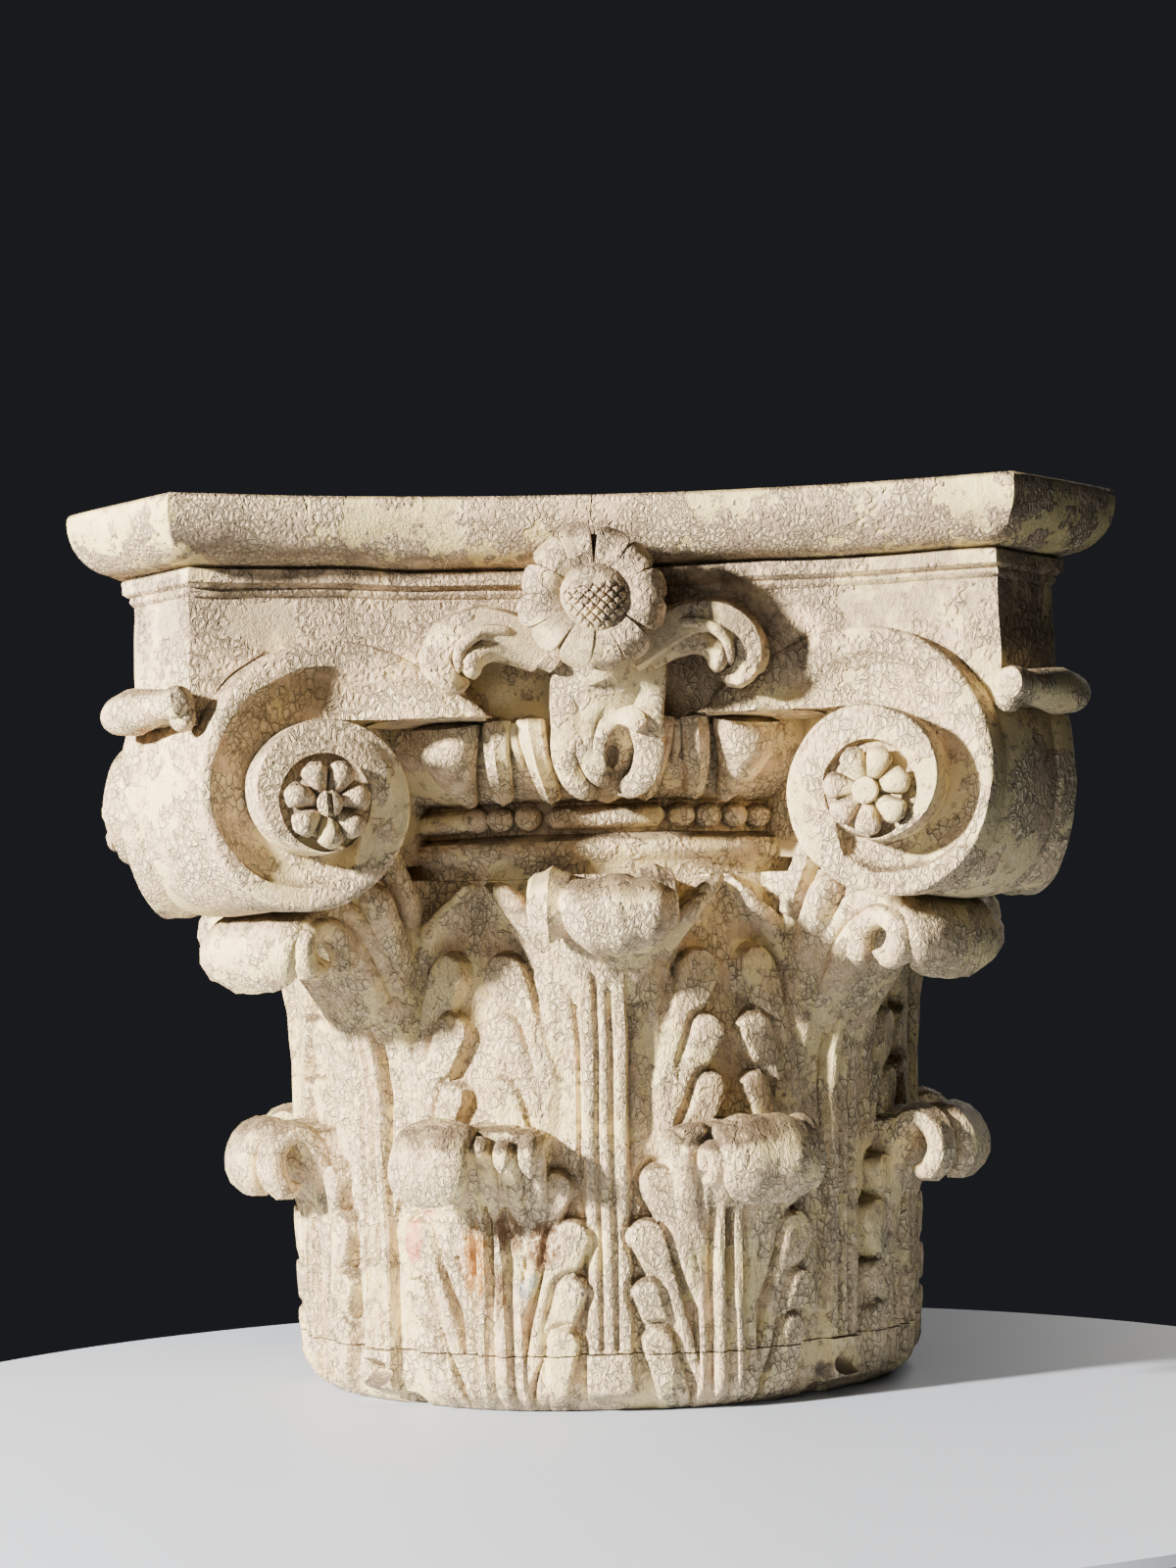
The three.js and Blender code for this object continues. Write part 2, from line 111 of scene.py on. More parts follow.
def loft_faces(rows, columns):
    """Faces of a skin over closed rings, with a fan over each end."""
    i, j = np.meshgrid(np.arange(rows - 1), np.arange(columns), indexing="ij")
    k = (j + 1) % columns
    quads = np.stack(
        [i * columns + j, i * columns + k, (i + 1) * columns + k, (i + 1) * columns + j], axis=-1
    )
    faces = [tuple(q) for q in quads.reshape(-1, 4).tolist()]
    low, high = rows * columns, rows * columns + 1
    last = (rows - 1) * columns
    for a in range(columns):
        b = (a + 1) % columns
        faces.append((low, b, a))
        faces.append((high, last + a, last + b))
    return faces


def solid(name, points, faces):
    """A mesh object in metres from points in millimetres, with its faces turned outwards."""
    points = np.asarray(points, dtype=float) * MM
    mesh = bpy.data.meshes.new(name)
    mesh.from_pydata(points.tolist(), [], faces)
    if signed_volume(mesh) < 0:
        mesh.flip_normals()
    piece = bpy.data.objects.new(name, mesh)
    bpy.context.scene.collection.objects.link(piece)
    return piece


def signed_volume(mesh):
    mesh.calc_loop_triangles()
    corners = np.empty(len(mesh.loop_triangles) * 3, dtype=np.int64)
    mesh.loop_triangles.foreach_get("vertices", corners)
    points = vertices_of(mesh)[corners.reshape(-1, 3)]
    return float(np.einsum("ij,ij->i", points[:, 0], np.cross(points[:, 1], points[:, 2])).sum())


def vertices_of(mesh):
    flat = np.empty(len(mesh.vertices) * 3)
    mesh.vertices.foreach_get("co", flat)
    return flat.reshape(-1, 3)


def loft(name, rings):
    rings = np.asarray(rings, dtype=float)
    rows, columns, _ = rings.shape
    ends = [rings[0].mean(axis=0), rings[-1].mean(axis=0)]
    points = np.vstack([rings.reshape(-1, 3), ends])
    return solid(name, points, loft_faces(rows, columns))


def revolve(name, profile, sides):
    """A turned solid about Z. The profile gives radius and height, from bottom to top."""
    angles = np.arange(sides) / sides * TURN
    profile = np.asarray(profile, dtype=float)
    rings = np.stack(
        [
            profile[:, :1] * np.cos(angles),
            profile[:, :1] * np.sin(angles),
            np.repeat(profile[:, 1:2], sides, axis=1),
        ],
        axis=-1,
    )
    return loft(name, rings)


def baked(piece):
    """Applies a piece's modifiers and transform to its mesh."""
    depsgraph = bpy.context.evaluated_depsgraph_get()
    mesh = bpy.data.meshes.new_from_object(piece.evaluated_get(depsgraph))
    mesh.transform(piece.matrix_world)
    if piece.matrix_world.determinant() < 0:
        mesh.flip_normals()
    piece.modifiers.clear()
    piece.matrix_world = Matrix.Identity(4)
    piece.data = mesh
    return piece


def combine(first, others, operation="UNION"):
    """Joins or cuts the first solid with the others, which are used up."""
    for other in others:
        boolean = first.modifiers.new("boolean", "BOOLEAN")
        boolean.operation = operation
        boolean.solver = "MANIFOLD"
        boolean.object = other
    baked(first)
    for other in others:
        bpy.data.objects.remove(other)
    return first


def turned_copy(piece, degrees, mirror=False):
    """A copy turned about Z, mirrored first across the plane through X and Z if asked."""
    copy = bpy.data.objects.new(piece.name, piece.data.copy())
    bpy.context.scene.collection.objects.link(copy)
    if mirror:
        mirror_across(copy)
    turn(copy, degrees)
    return copy


def turn(piece, degrees, axis="Z"):
    piece.data.transform(Matrix.Rotation(degrees * DEG, 4, axis))


def mirror_across(piece):
    """Mirrors a piece across the plane through X and Z."""
    piece.data.transform(Matrix.Diagonal((1, -1, 1, 1)))
    piece.data.flip_normals()


def thin_out(piece, share):
    """Drops triangles where the surface is smooth."""
    thin = piece.modifiers.new("thin", "DECIMATE")
    thin.ratio = share
    thin.use_collapse_triangulate = True
    return baked(piece)


# ---- Smooth noise in space ----

def lattice_noise(points, size, seed):
    """Smooth noise between -1 and 1 at points, with features of about the size given."""
    cells = 32  # the noise repeats after this many features
    table = np.random.default_rng(seed).uniform(-1, 1, (cells, cells, cells))
    at = points / size
    base = np.floor(at).astype(int)
    part = at - base
    part = part * part * (3 - 2 * part)
    total = np.zeros(len(points))
    for corner in range(8):
        step = np.array([corner & 1, (corner >> 1) & 1, (corner >> 2) & 1])
        weight = np.prod(np.where(step, part, 1 - part), axis=1)
        index = (base + step) % cells
        total += weight * table[index[:, 0], index[:, 1], index[:, 2]]
    return total


HAND_WAVES = ((1.0, 46, 11), (0.45, 15, 21), (0.16, 5.5, 31))  # depth, length and seed of each
CALM_END = 25  # heights move less than this far from the flat top and underside


def carve_by_hand(piece):
    """Moves every point a little, as uneven hand carving does, and keeps it inside the CAD box."""
    points = vertices_of(piece.data) / MM
    shift = np.zeros_like(points)
    for axis in range(3):
        for depth, length, seed in HAND_WAVES:
            shift[:, axis] += depth * lattice_noise(points, length, seed + axis)
    from_end = np.minimum(points[:, 2], HEIGHT - points[:, 2])
    shift[:, 2] *= np.clip(from_end / CALM_END, 0, 1)
    points = np.clip(points + shift, np.array(cad_box[0]) / MM, np.array(cad_box[1]) / MM)
    piece.data.vertices.foreach_set("co", (points * MM).ravel())
    piece.data.update()


def smoothstep(value, low, high):
    share = np.clip((value - low) / (high - low), 0, 1)
    return share * share * (3 - 2 * share)


# ---- Abacus ----

def side_half(plan):
    return (plan["reach"] - plan["cut"] / 2) * math.sqrt(0.5)


def side_distance(plan, run):
    """How far a hollow side lies from the axis, at distances along it from its middle."""
    half, hollow = side_half(plan), plan["hollow"]
    edge = (plan["reach"] + plan["cut"] / 2) * math.sqrt(0.5)
    radius = (half * half + hollow * hollow) / (2 * hollow)
    return edge - hollow + radius - np.sqrt(radius * radius - run * run)


def abacus_ring(plan, height):
    """The abacus plan at one height: four hollow sides joined by the cut corners."""
    run = side_half(plan) * np.linspace(-1, 1, PLAN_STEPS + 1)
    side_points = np.stack([side_distance(plan, run), run], axis=1)
    next_start = np.array([-run[0], side_points[0, 0]])
    blend = np.arange(1, CORNER_STEPS)[:, None] / CORNER_STEPS
    corner = side_points[-1] + (next_start - side_points[-1]) * blend
    ring = []
    for side in range(4):
        c, s = math.cos(side * math.pi / 2), math.sin(side * math.pi / 2)
        rotation = np.array([[c, s], [-s, c]])
        ring.append(np.vstack([side_points, corner]) @ rotation)
    ring = np.vstack(ring)
    return np.column_stack([ring, np.full(len(ring), height)])


def between(first, last, share):
    """A plan between two others."""
    return {key: first[key] + (last[key] - first[key]) * share for key in first}


def make_board():
    """The ovolo board: a quarter round under a flat top with a soft worn arris."""
    under = BOARD_UNDER + SEAM / 2
    rings = [abacus_ring(NECKING_FOOT, under)]
    for i in range(11):
        angle = i / 10 * math.pi / 2
        height = under + 1.2 + (HEIGHT - 7 - under) * (1 - math.cos(angle))
        rings.append(abacus_ring(between(NECKING, ABACUS, math.sin(angle)), height))
    for drop, inset in ((3.2, 0.2), (1.2, 1.0), (0.2, 2.6), (0, 5)):
        plan = dict(ABACUS, reach=ABACUS["reach"] - inset, cut=ABACUS["cut"] - inset)
        rings.append(abacus_ring(plan, HEIGHT - drop))
    for share in (0.8, 0.55, 0.25):
        ring = abacus_ring(ABACUS, HEIGHT)
        ring[:, :2] *= share
        rings.append(ring)
    return loft("abacus_board_carved", rings)


def make_die():
    """The die under the board: a bead and fillet above a tall plain fascia."""
    # Height, how much further out than the fascia, and how much longer each cut corner is.
    levels = [(DIE_UNDER, -3, 0), (DIE_UNDER + 12, 0.4, 0), (DIE_UNDER + 26, 0.8, 0)]
    levels += [(DIE_UNDER + 45, 0.3, 0), (FASCIA_TOP - 6, 0, 0), (FASCIA_TOP - 1, 0, 0)]
    levels += [(FASCIA_TOP, 1.4, 2), (FASCIA_TOP + 1.8, 2.0, 4), (FASCIA_TOP + 3.6, 1.6, 3)]
    levels += [(FASCIA_TOP + 4.4, 2.6, 7), (FASCIA_TOP + 6, 4, 11), (FASCIA_TOP + 12, 4.2, 12)]
    levels += [(BOARD_UNDER - 1.2, 4, 12), (BOARD_UNDER - SEAM / 2, 2.6, 9)]
    rings = []
    for height, out, wider in levels:
        plan = dict(FASCIA, reach=FASCIA["reach"] + out, cut=FASCIA["cut"] + wider)
        rings.append(abacus_ring(plan, height))
    return loft("die", rings)


# ---- Carved bell: a relief over arc distance and height ----

def from_segment(x, z, start, end):
    """The share along a segment of its place nearest to each point, and how far off the point is."""
    dx, dz = end[0] - start[0], end[1] - start[1]
    share = np.clip(((x - start[0]) * dx + (z - start[1]) * dz) / (dx * dx + dz * dz), 0, 1)
    return share, np.hypot(x - start[0] - share * dx, z - start[1] - share * dz)


class Relief:
    """Heights over the ground of a grid of arc distance and height round the bell."""

    def __init__(self, pitch, low, high):
        self.columns = int(round(TURN * ARC_RADIUS / pitch))
        self.rows = int(round((high - low) / pitch)) + 1
        self.arc = np.arange(self.columns) / self.columns * TURN * ARC_RADIUS
        self.height = np.linspace(low, high, self.rows)
        self.rise = np.zeros((self.rows, self.columns))

    def window(self, middle, half, low, high):
        """Indices and local coordinates of the part of the grid near an axis."""
        around = TURN * ARC_RADIUS
        local = (self.arc - middle + around / 2) % around - around / 2
        columns = np.where(np.abs(local) <= half)[0]
        rows = np.where((self.height >= low) & (self.height <= high))[0]
        x, z = np.meshgrid(local[columns], self.height[rows])
        return np.ix_(rows, columns), x, z

    def raise_to(self, place, values):
        self.rise[place] = np.maximum(self.rise[place], values)

    def finger(self, middle, tail, tip, radii, tops, edge=2.6):
        """A rounded leaf lobe from tail to tip, cut round so that it stands off what is behind it."""
        reach = max(radii) + 4
        half = max(abs(tail[0]), abs(tip[0])) + reach
        low, high = min(tail[1], tip[1]) - reach, max(tail[1], tip[1]) + reach
        place, x, z = self.window(middle, half, low, high)
        share, gap = from_segment(x, z, tail, tip)
        radius = radii[0] + (radii[1] - radii[0]) * share
        top = tops[0] + (tops[1] - tops[0]) * share
        # A line cut round the lobe's outer half, a shallow dip along it and a crowned top.
        outline = np.exp(-(((gap - radius - 0.8) / 1.8) ** 2)) * smoothstep(share, 0.45, 0.85)
        self.rise[place] = np.maximum(self.rise[place] - 3.4 * outline, 0)
        hollow = 0.07 * np.exp(-((gap / (0.45 * radius)) ** 2)) * smoothstep(share, 0.2, 0.8)
        crown = 1 - 0.16 * (gap / radius) ** 2 - hollow
        self.raise_to(place, top * crown * smoothstep(radius - gap, 0, edge))

    def groove(self, middle, points, width, depth):
        """A V-shaped line cut along a few points."""
        xs, zs = [p[0] for p in points], [p[1] for p in points]
        half = max(abs(v) for v in xs) + 3 * width
        place, x, z = self.window(middle, half, min(zs) - 3 * width, max(zs) + 3 * width)
        gap = np.full(x.shape, np.inf)
        for start, end in zip(points, points[1:]):
            gap = np.minimum(gap, from_segment(x, z, start, end)[1])
        self.rise[place] -= depth * np.exp(-((gap / width) ** 2))


def interpolate(value, table):
    """Linear interpolation in a short table of (place, value) pairs."""
    return np.interp(value, [row[0] for row in table], [row[1] for row in table])


UPPER_LOBES = (
    # tail, tip, radii and tops of each lobe on one side of a tall leaf
    ((31, 172), (55, 236), (7, 13.5), (6, 10.5)),
    ((33, 144), (58, 203), (6, 11.5), (5, 10)),
    ((34, 112), (59, 171), (6, 10), (5, 9.5)),
)
LOWER_LOBES = (
    ((15, 52), (38, 122), (4, 11), (6, 13.5)),
    ((17, 14), (44, 94), (4, 11.5), (5, 12)),
    ((20, -8), (46, 64), (4, 9), (4, 11)),
    ((31, -14), (41, 38), (5, 9.5), (4, 10)),
)
RIB_HALF = 13.5  # half the width of a tall leaf's rib


def leaf_lobes(relief, middle, lobes, random):
    """Both sides of a leaf's lobes, each a little out of place as hand carving is."""
    for side in (-1, 1):
        for tail, tip, radii, tops in lobes:
            wander = random.uniform(-1.5, 1.5, 5)
            start = (side * (tail[0] + wander[0] * 0.5), tail[1] + wander[1])
            end = (side * (tip[0] + wander[2] * 0.7), tip[1] + wander[3])
            size = 1 + 0.04 * wander[4]
            relief.finger(middle, start, end, (radii[0] * size, radii[1] * size), tops)


def tall_leaf(relief, middle, flare, random):
    """The flat part of a tall leaf. The flare gives how far its middle leans out at each height."""
    place, x, z = relief.window(middle, 78, FOOT_TOP - 2, BELL_CUT + 2)
    off = np.abs(x)
    half = interpolate(z, [(31, 13), (100, 15), (125, 29), (150, 40), (228, 43), (262, 34), (290, 38)])
    body = 6.5 * smoothstep(half - off, 0, 2.5)
    body -= 1.8 * np.exp(-(((off - 24) / 8) ** 2)) * smoothstep(z, 110, 140)
    relief.raise_to(place, body)
    # The leaf's edge lies lower, behind the lobes.
    edge = interpolate(z, [(120, 40), (140, 52), (225, 54), (240, 44)])
    ledge = 4.2 * smoothstep(edge - off, 0, 4)
    relief.raise_to(place, ledge * smoothstep(z, 112, 124) * smoothstep(z, 244, 232))
    leaf_lobes(relief, middle, UPPER_LOBES, random)
    for side in (-1, 1):
        # An arm of the leaf spreads to each side under the curled tip.
        relief.finger(middle, (side * 24, 224), (side * 44, 262), (9, 10), (6, 12), 6)
        relief.finger(middle, (side * 43, 260), (side * 66, 284), (10, 5), (12, 13), 5)
    lean = interpolate(z, flare) * smoothstep(43 - off * 1.05, 0, 15)
    relief.raise_to(place, lean)
    rib = 6.8 * smoothstep(RIB_HALF - off, 0, 2) + lean * (off < RIB_HALF)
    relief.raise_to(place, np.where(off < RIB_HALF, rib, 0))
    for side in (-1, 1):
        relief.groove(middle, [(side * 4.2, 34), (side * 3.6, 246)], 1.5, 3.6)
        relief.groove(middle, [(side * 13.6, 34), (side * 13.2, 180), (side * 16, 252)], 1.9, 3)
        relief.groove(middle, [(side * 25, 150), (side * 23, 200), (side * 27, 240)], 5, 1.6)


def short_leaf(relief, middle, random):
    """The flat part of a short leaf: bulging body, ribs, four lobes a side and a shelf at the top."""
    place, x, z = relief.window(middle, 70, FOOT_TOP - 32, 170)
    off = np.abs(x)
    half = interpolate(z, [(-5, 21), (31, 19), (70, 19), (100, 24), (124, 37), (150, 37), (158, 35)])
    top = 155 - (off / 42) ** 2 * 8
    body = 8 * smoothstep(half - off, 0, 3) * smoothstep(top - z, 0, 2.5)
    body -= 1.6 * np.exp(-(((off - 11) / 4) ** 2)) * smoothstep(125 - z, 0, 20)
    relief.raise_to(place, body)
    leaf_lobes(relief, middle, LOWER_LOBES, random)
    swell = interpolate(z, [(0, 0), (84, 0), (100, 3), (125, 11), (140, 19), (150, 25), (156, 27)])
    shelf = (8 + swell) * smoothstep(38 - off, 0, 12) * smoothstep(top - z, 0, 1.6)
    relief.raise_to(place, np.where(z > 84, shelf, 0))
    for side in (-1, 1):
        relief.finger(middle, (side * 6.5, 4), (side * 4.4, 118), (4.2, 4), (9.5, 13), 2)
        relief.groove(middle, [(side * 10, 6), (side * 9.6, 60), (side * 10.5, 112)], 1.9, 2)
        relief.groove(middle, [(side * 13, 96), (side * 21, 138)], 1.6, 2.2)
    relief.groove(middle, [(0, 2), (0, 122)], 1.7, 3)


def foot_blocks(relief, middle):
    """The small upright block at the bottom of each tall leaf's rib."""
    place, x, z = relief.window(middle, 24, -1, 40)
    block = 8.5 * smoothstep(14 - np.abs(x), 0, 2) * smoothstep(32 - z, 0, 1.5) * smoothstep(z, 5, 10)
    relief.raise_to(place, block)
    for side in (-1, 1):
        relief.groove(middle, [(side * 17, 8), (side * 16, 29)], 2.6, 5)


# How far a tall leaf's middle leans out at each height, on the faces and at the corners.
FACE_FLARE = [(31, 0), (185, 5), (215, 9), (245, 17), (262, 24), (275, 31), (292, 33)]
CORNER_FLARE = [(31, 0), (165, 5), (190, 10), (222, 22), (245, 38), (262, 56), (275, 66), (292, 68)]


def bell_ground(height):
    """The radius that the relief stands on."""
    return interpolate(
        height,
        [(0, 168), (3, 171), (8, 174), (16, 176.5), (31, GROUND_RADIUS), (150, GROUND_RADIUS),
         (200, 176), (250, 173), (275, 169), (BELL_CUT, 167)],
    )


def make_bell(pitch):
    """The relief of the bell and foot: tall leaves behind, then the short ones between them."""
    relief = Relief(pitch, 0, BELL_CUT)
    random = np.random.default_rng(5)
    step = 45 * DEG * ARC_RADIUS
    for leaf in range(8):
        tall_leaf(relief, leaf * step, CORNER_FLARE if leaf % 2 else FACE_FLARE, random)
        foot_blocks(relief, leaf * step)
    for azimuth in LOWER_LEAVES:
        short_leaf(relief, azimuth * DEG * ARC_RADIUS, random)
    # The foot's bottom edge is rubbed smooth.
    relief.rise *= smoothstep(relief.height, -6, 12)[:, None]
    return relief


def relief_solid(name, relief, low, high):
    """The part of the relief between two heights, as a closed solid."""
    rows = np.where((relief.height > low + 0.4) & (relief.height < high - 0.4))[0]
    heights = np.concatenate([[low, low + 0.35], relief.height[rows], [high - 0.35, high]])
    first, last = rows[0], rows[-1]
    picked = np.concatenate([[first, first], rows, [last, last]])
    radius = bell_ground(heights)[:, None] + relief.rise[picked]
    radius[[0, -1]] -= JOINT_CHAMFER
    angle = relief.arc / ARC_RADIUS
    rings = np.stack(
        [radius * np.cos(angle), radius * np.sin(angle), np.repeat(heights[:, None], len(angle), 1)],
        axis=-1,
    )
    inner = rings[[0, -1]].copy()
    inner[:, :, :2] *= 0.93
    return loft(name, np.concatenate([inner[:1], rings, inner[1:]]))


# ---- Sweeps: one closed skin along a path, for petals, strands, scrolls and curled leaf tips ----

def smooth_path(points, count):
    """Points along a smooth curve through the given ones, evenly spread along its length."""
    points = np.asarray(points, dtype=float)
    padded = np.vstack([2 * points[0] - points[1], points, 2 * points[-1] - points[-2]])
    fine = []
    for a, b, c, d in zip(padded, padded[1:], padded[2:], padded[3:]):
        for t in np.linspace(0, 1, 12, endpoint=False):
            fine.append(
                0.5 * (2 * b + (c - a) * t + (2 * a - 5 * b + 4 * c - d) * t * t
                       + (3 * b - a - 3 * c + d) * t ** 3)
            )
    fine = np.vstack([fine, points[-1]])
    length = np.concatenate([[0], np.cumsum(np.linalg.norm(np.diff(fine, axis=0), axis=1))])
    even = np.linspace(0, length[-1], count)
    return np.column_stack([np.interp(even, length, fine[:, k]) for k in range(fine.shape[1])])


def along(values, count):
    """Values spread evenly along a path, smoothed to the number of stations."""
    values = np.atleast_1d(np.asarray(values, dtype=float))
    if len(values) == 1:
        return np.full(count, values[0])
    return smooth_path(values[:, None], count)[:, 0] if len(values) > 2 else np.linspace(*values, count)


def rounded_ends(count, start, end):
    """Scales that close a sweep with round ends. The arguments are shares of its length."""
    share = np.linspace(0, 1, count)
    scale = np.ones(count)
    for length, gone in ((start, share), (end, 1 - share)):
        if length:
            scale *= np.sqrt(np.clip(1 - np.clip(1 - gone / length, 0, 1) ** 2, 0.02, 1))
    return scale


def sweep(
    centres, sideways, widths, thicks, columns=14, power=0.8, ends=(0.1, 0.1), dish=0, ribs=0, relief=0
):
    """A rounded bar along the centres. Widths lie sideways and thicknesses across, and are halves.

    It can be dished, and can carry ribs along it whose relief is a share of the thickness.
    """
    centres = np.asarray(centres, dtype=float)
    count = len(centres)
    tangent = np.gradient(centres, axis=0)
    tangent /= np.linalg.norm(tangent, axis=1)[:, None]
    sideways = np.broadcast_to(sideways, centres.shape)
    across = np.cross(tangent, sideways)
    across /= np.linalg.norm(across, axis=1)[:, None] + 1e-9
    scale = rounded_ends(count, *ends)
    widths, thicks = along(widths, count) * scale, along(thicks, count) * scale
    angle = np.arange(columns) / columns * TURN
    c, s = np.cos(angle), np.sin(angle)
    c, s = np.sign(c) * np.abs(c) ** power, np.sign(s) * np.abs(s) ** power
    bend = dish * (c * c - 0.4) + relief * np.cos(ribs * math.pi * c) * s
    rings = (
        centres[:, None, :]
        + sideways[:, None, :] * (widths[:, None] * c)[:, :, None]
        + across[:, None, :] * (thicks[:, None] * (s + bend))[:, :, None]
    )
    return loft("sweep", rings)


def polar(azimuth, radius, height):
    """Points from azimuths in degrees, radii and heights."""
    angle = np.asarray(azimuth, dtype=float) * DEG
    radius, height = np.broadcast_arrays(radius, height)
    return np.stack(np.broadcast_arrays(radius * np.cos(angle), radius * np.sin(angle), height), axis=-1)


def curl(
    azimuth, path, offset, widths, thicks, side=1, rows=20, columns=14, ends=(0.04, 0.2), **more
):
    """A leaf finger curling out from the bell: a path of radius and height at an arc offset.

    The side is -1 to mirror the offset.
    """
    path = smooth_path(path, rows)
    arcs = side * along(offset, rows)
    angles = azimuth + arcs / np.maximum(path[:, 0], 150) / DEG
    centres = polar(angles, path[:, 0], path[:, 1])
    sideways = polar(angles + 90, 1.0, 0.0)
    return sweep(centres, sideways, widths, thicks, columns=columns, ends=ends, **more)


def strand(points, depth, widths, thicks, rows=20, columns=12, **more):
    """A bar in the plane of the front face. Points give X and height, depth the distance out."""
    path = smooth_path(points, rows)
    centres = np.column_stack([path[:, 0], -along(depth, rows), path[:, 1]])
    tangent = np.gradient(centres, axis=0)
    outward = np.broadcast_to([0.0, -1.0, 0.0], centres.shape)
    sideways = np.cross(tangent, outward)
    sideways /= np.linalg.norm(sideways, axis=1)[:, None]
    return sweep(centres, sideways, widths, thicks, columns=columns, **more)


def ball(centre, radii, columns=14, rows=9):
    """An ellipsoid with upright axis."""
    tilt = np.linspace(0.06, math.pi - 0.06, rows)
    angle = np.arange(columns) / columns * TURN
    rings = np.stack(
        [
            centre[0] + radii[0] * np.outer(np.sin(tilt), np.cos(angle)),
            centre[1] + radii[1] * np.outer(np.sin(tilt), np.sin(angle)),
            np.repeat((centre[2] - radii[2] * np.cos(tilt))[:, None], columns, axis=1),
        ],
        axis=-1,
    )
    return loft("ball", rings)


# ---- Leaf tips ----

LOWER_CURL = ((181, 108), (194, 133), (203, 146), (213, 150), (222, 143), (225, 130), (218, 119), (209, 121))
UPPER_CURL = ((174, 218), (187, 244), (200, 265), (214, 277), (226, 273), (229, 262), (221, 254), (212, 258))
CORNER_CURL = ((178, 200), (198, 228), (218, 252), (241, 267), (262, 262), (269, 249), (261, 237), (249, 239))


def shifted(path, out, up):
    return [(r + out, z + up) for r, z in path]


def lower_tips():
    """Curled tips of the eight short leaves. The two at the front are worn as in the photograph."""
    tips = []
    random = np.random.default_rng(17)
    for azimuth in LOWER_LEAVES:
        if azimuth == FRONT_LEFT_LEAF:
            tips += broken_tip(azimuth)
            continue
        if azimuth == FRONT_RIGHT_LEAF:
            tips += rolled_tip(azimuth)
            continue
        tips.append(curl(azimuth, LOWER_CURL, 0, (22, 24, 25, 23, 18), (9, 8, 8, 9), columns=22,
                         ribs=3, relief=0.16))
        for side in (-1, 1):
            path = shifted(LOWER_CURL, random.uniform(-8, -5), random.uniform(-2, 2))
            offset = (17, 22, 27, random.uniform(28, 32))
            tips.append(curl(azimuth, path, offset, (12, 12.5, 13, 12.5, 11), (8, 7, 7, 8), side,
                             ribs=2, relief=0.12, columns=16))
    return tips


def broken_tip(azimuth):
    """The left of the two front tips: a whole lobe at its left, splintered ridges elsewhere."""
    whole = shifted(LOWER_CURL, 0, 1)
    tips = [curl(azimuth, whole, (-14, -16, -19, -20), (19, 21, 23, 23, 22), (8, 8, 9, 10),
                 columns=20, ribs=1.4, relief=0.06)]
    stump = ((186, 112), (192, 126), (199, 138), (206, 148), (210, 151))
    tips.append(curl(azimuth, stump, (8, 11, 13), (18, 20, 21, 18), (6, 5, 4), ends=(0.04, 0.1),
                     columns=24, ribs=5, relief=0.3))
    spikes = (
        (5, 8, ((186, 104), (194, 120), (203, 134), (212, 146), (219, 138))),
        (18, 20, ((185, 100), (192, 116), (202, 132), (214, 143), (218, 131))),
        (29, 33, ((183, 100), (189, 119), (198, 138), (208, 146), (213, 138), (211, 128))),
    )
    for start, end, path in spikes:
        tips.append(curl(azimuth, path, (start, end), (4, 5, 5.5, 4.5), (5, 6, 5), ends=(0.1, 0.15)))
    return tips


def rolled_tip(azimuth):
    """The right of the two front tips: a roll that shows its spiral end at its left."""
    tips = [curl(azimuth, LOWER_CURL, (6, 8, 10, 10), (24, 26, 28, 28, 27), (8, 8, 8, 10), rows=24,
                 columns=26, ribs=4, relief=0.1)]
    thin = ((188, 122), (193, 134), (201, 146), (209, 152), (216, 147))
    tips.append(curl(azimuth, thin, (-16, -22, -31), (14, 13, 9), (5, 4, 3)))
    tips.append(curl(azimuth, shifted(LOWER_CURL, -3, 2), (30, 34, 37), (9, 9, 7), (6, 6, 6)))
    eye = ((205, 128), (208, 139), (217, 142), (224, 135), (221, 126), (213, 128))
    tips.append(curl(azimuth, eye, (-18, -21), (6, 6), (5, 4.5, 4), rows=20, ends=(0.1, 0.2)))
    return tips


def upper_tips():
    """Curled tips of the tall leaves on the four faces: three rolled lobes, a horn and two wings."""
    tips = []
    random = np.random.default_rng(23)
    for azimuth in SIDES:
        raised = random.uniform(-2, 2)
        middle = shifted(UPPER_CURL, 2, -1)
        left, right = shifted(UPPER_CURL, -6, 4 + raised), shifted(UPPER_CURL, -8, 7)
        horn = ((182, 250), (193, 264), (201, 275), (203, 286))
        tips += [
            curl(azimuth, middle, (2, 8, 11), (22, 27, 31, 30, 26), (9, 9, 10, 12), rows=26,
                 columns=30, ribs=3, relief=0.12, power=1),
            curl(azimuth, left, (-19, -25, -28), (12, 13, 12), (8, 8, 10), columns=16, ribs=2, relief=0.14),
            curl(azimuth, right, (20, 28, 34), (11, 12, 10), (8, 7, 8), columns=16, ribs=3, relief=0.2),
            curl(azimuth, horn, (-26, -39, -50, -55), (11, 11, 9.5, 6), (8, 7.5, 6), rows=16),
        ]
        for out, up, far in ((0, 0, 66), (3, -9, 56)):
            wing = shifted(((186, 252), (195, 268), (198, 279), (196, 287)), out, up)
            tips.append(curl(azimuth, wing, (24, 40, 54, far), (11, 10, 9, 6), (8, 7, 5.5), rows=16))
    return tips


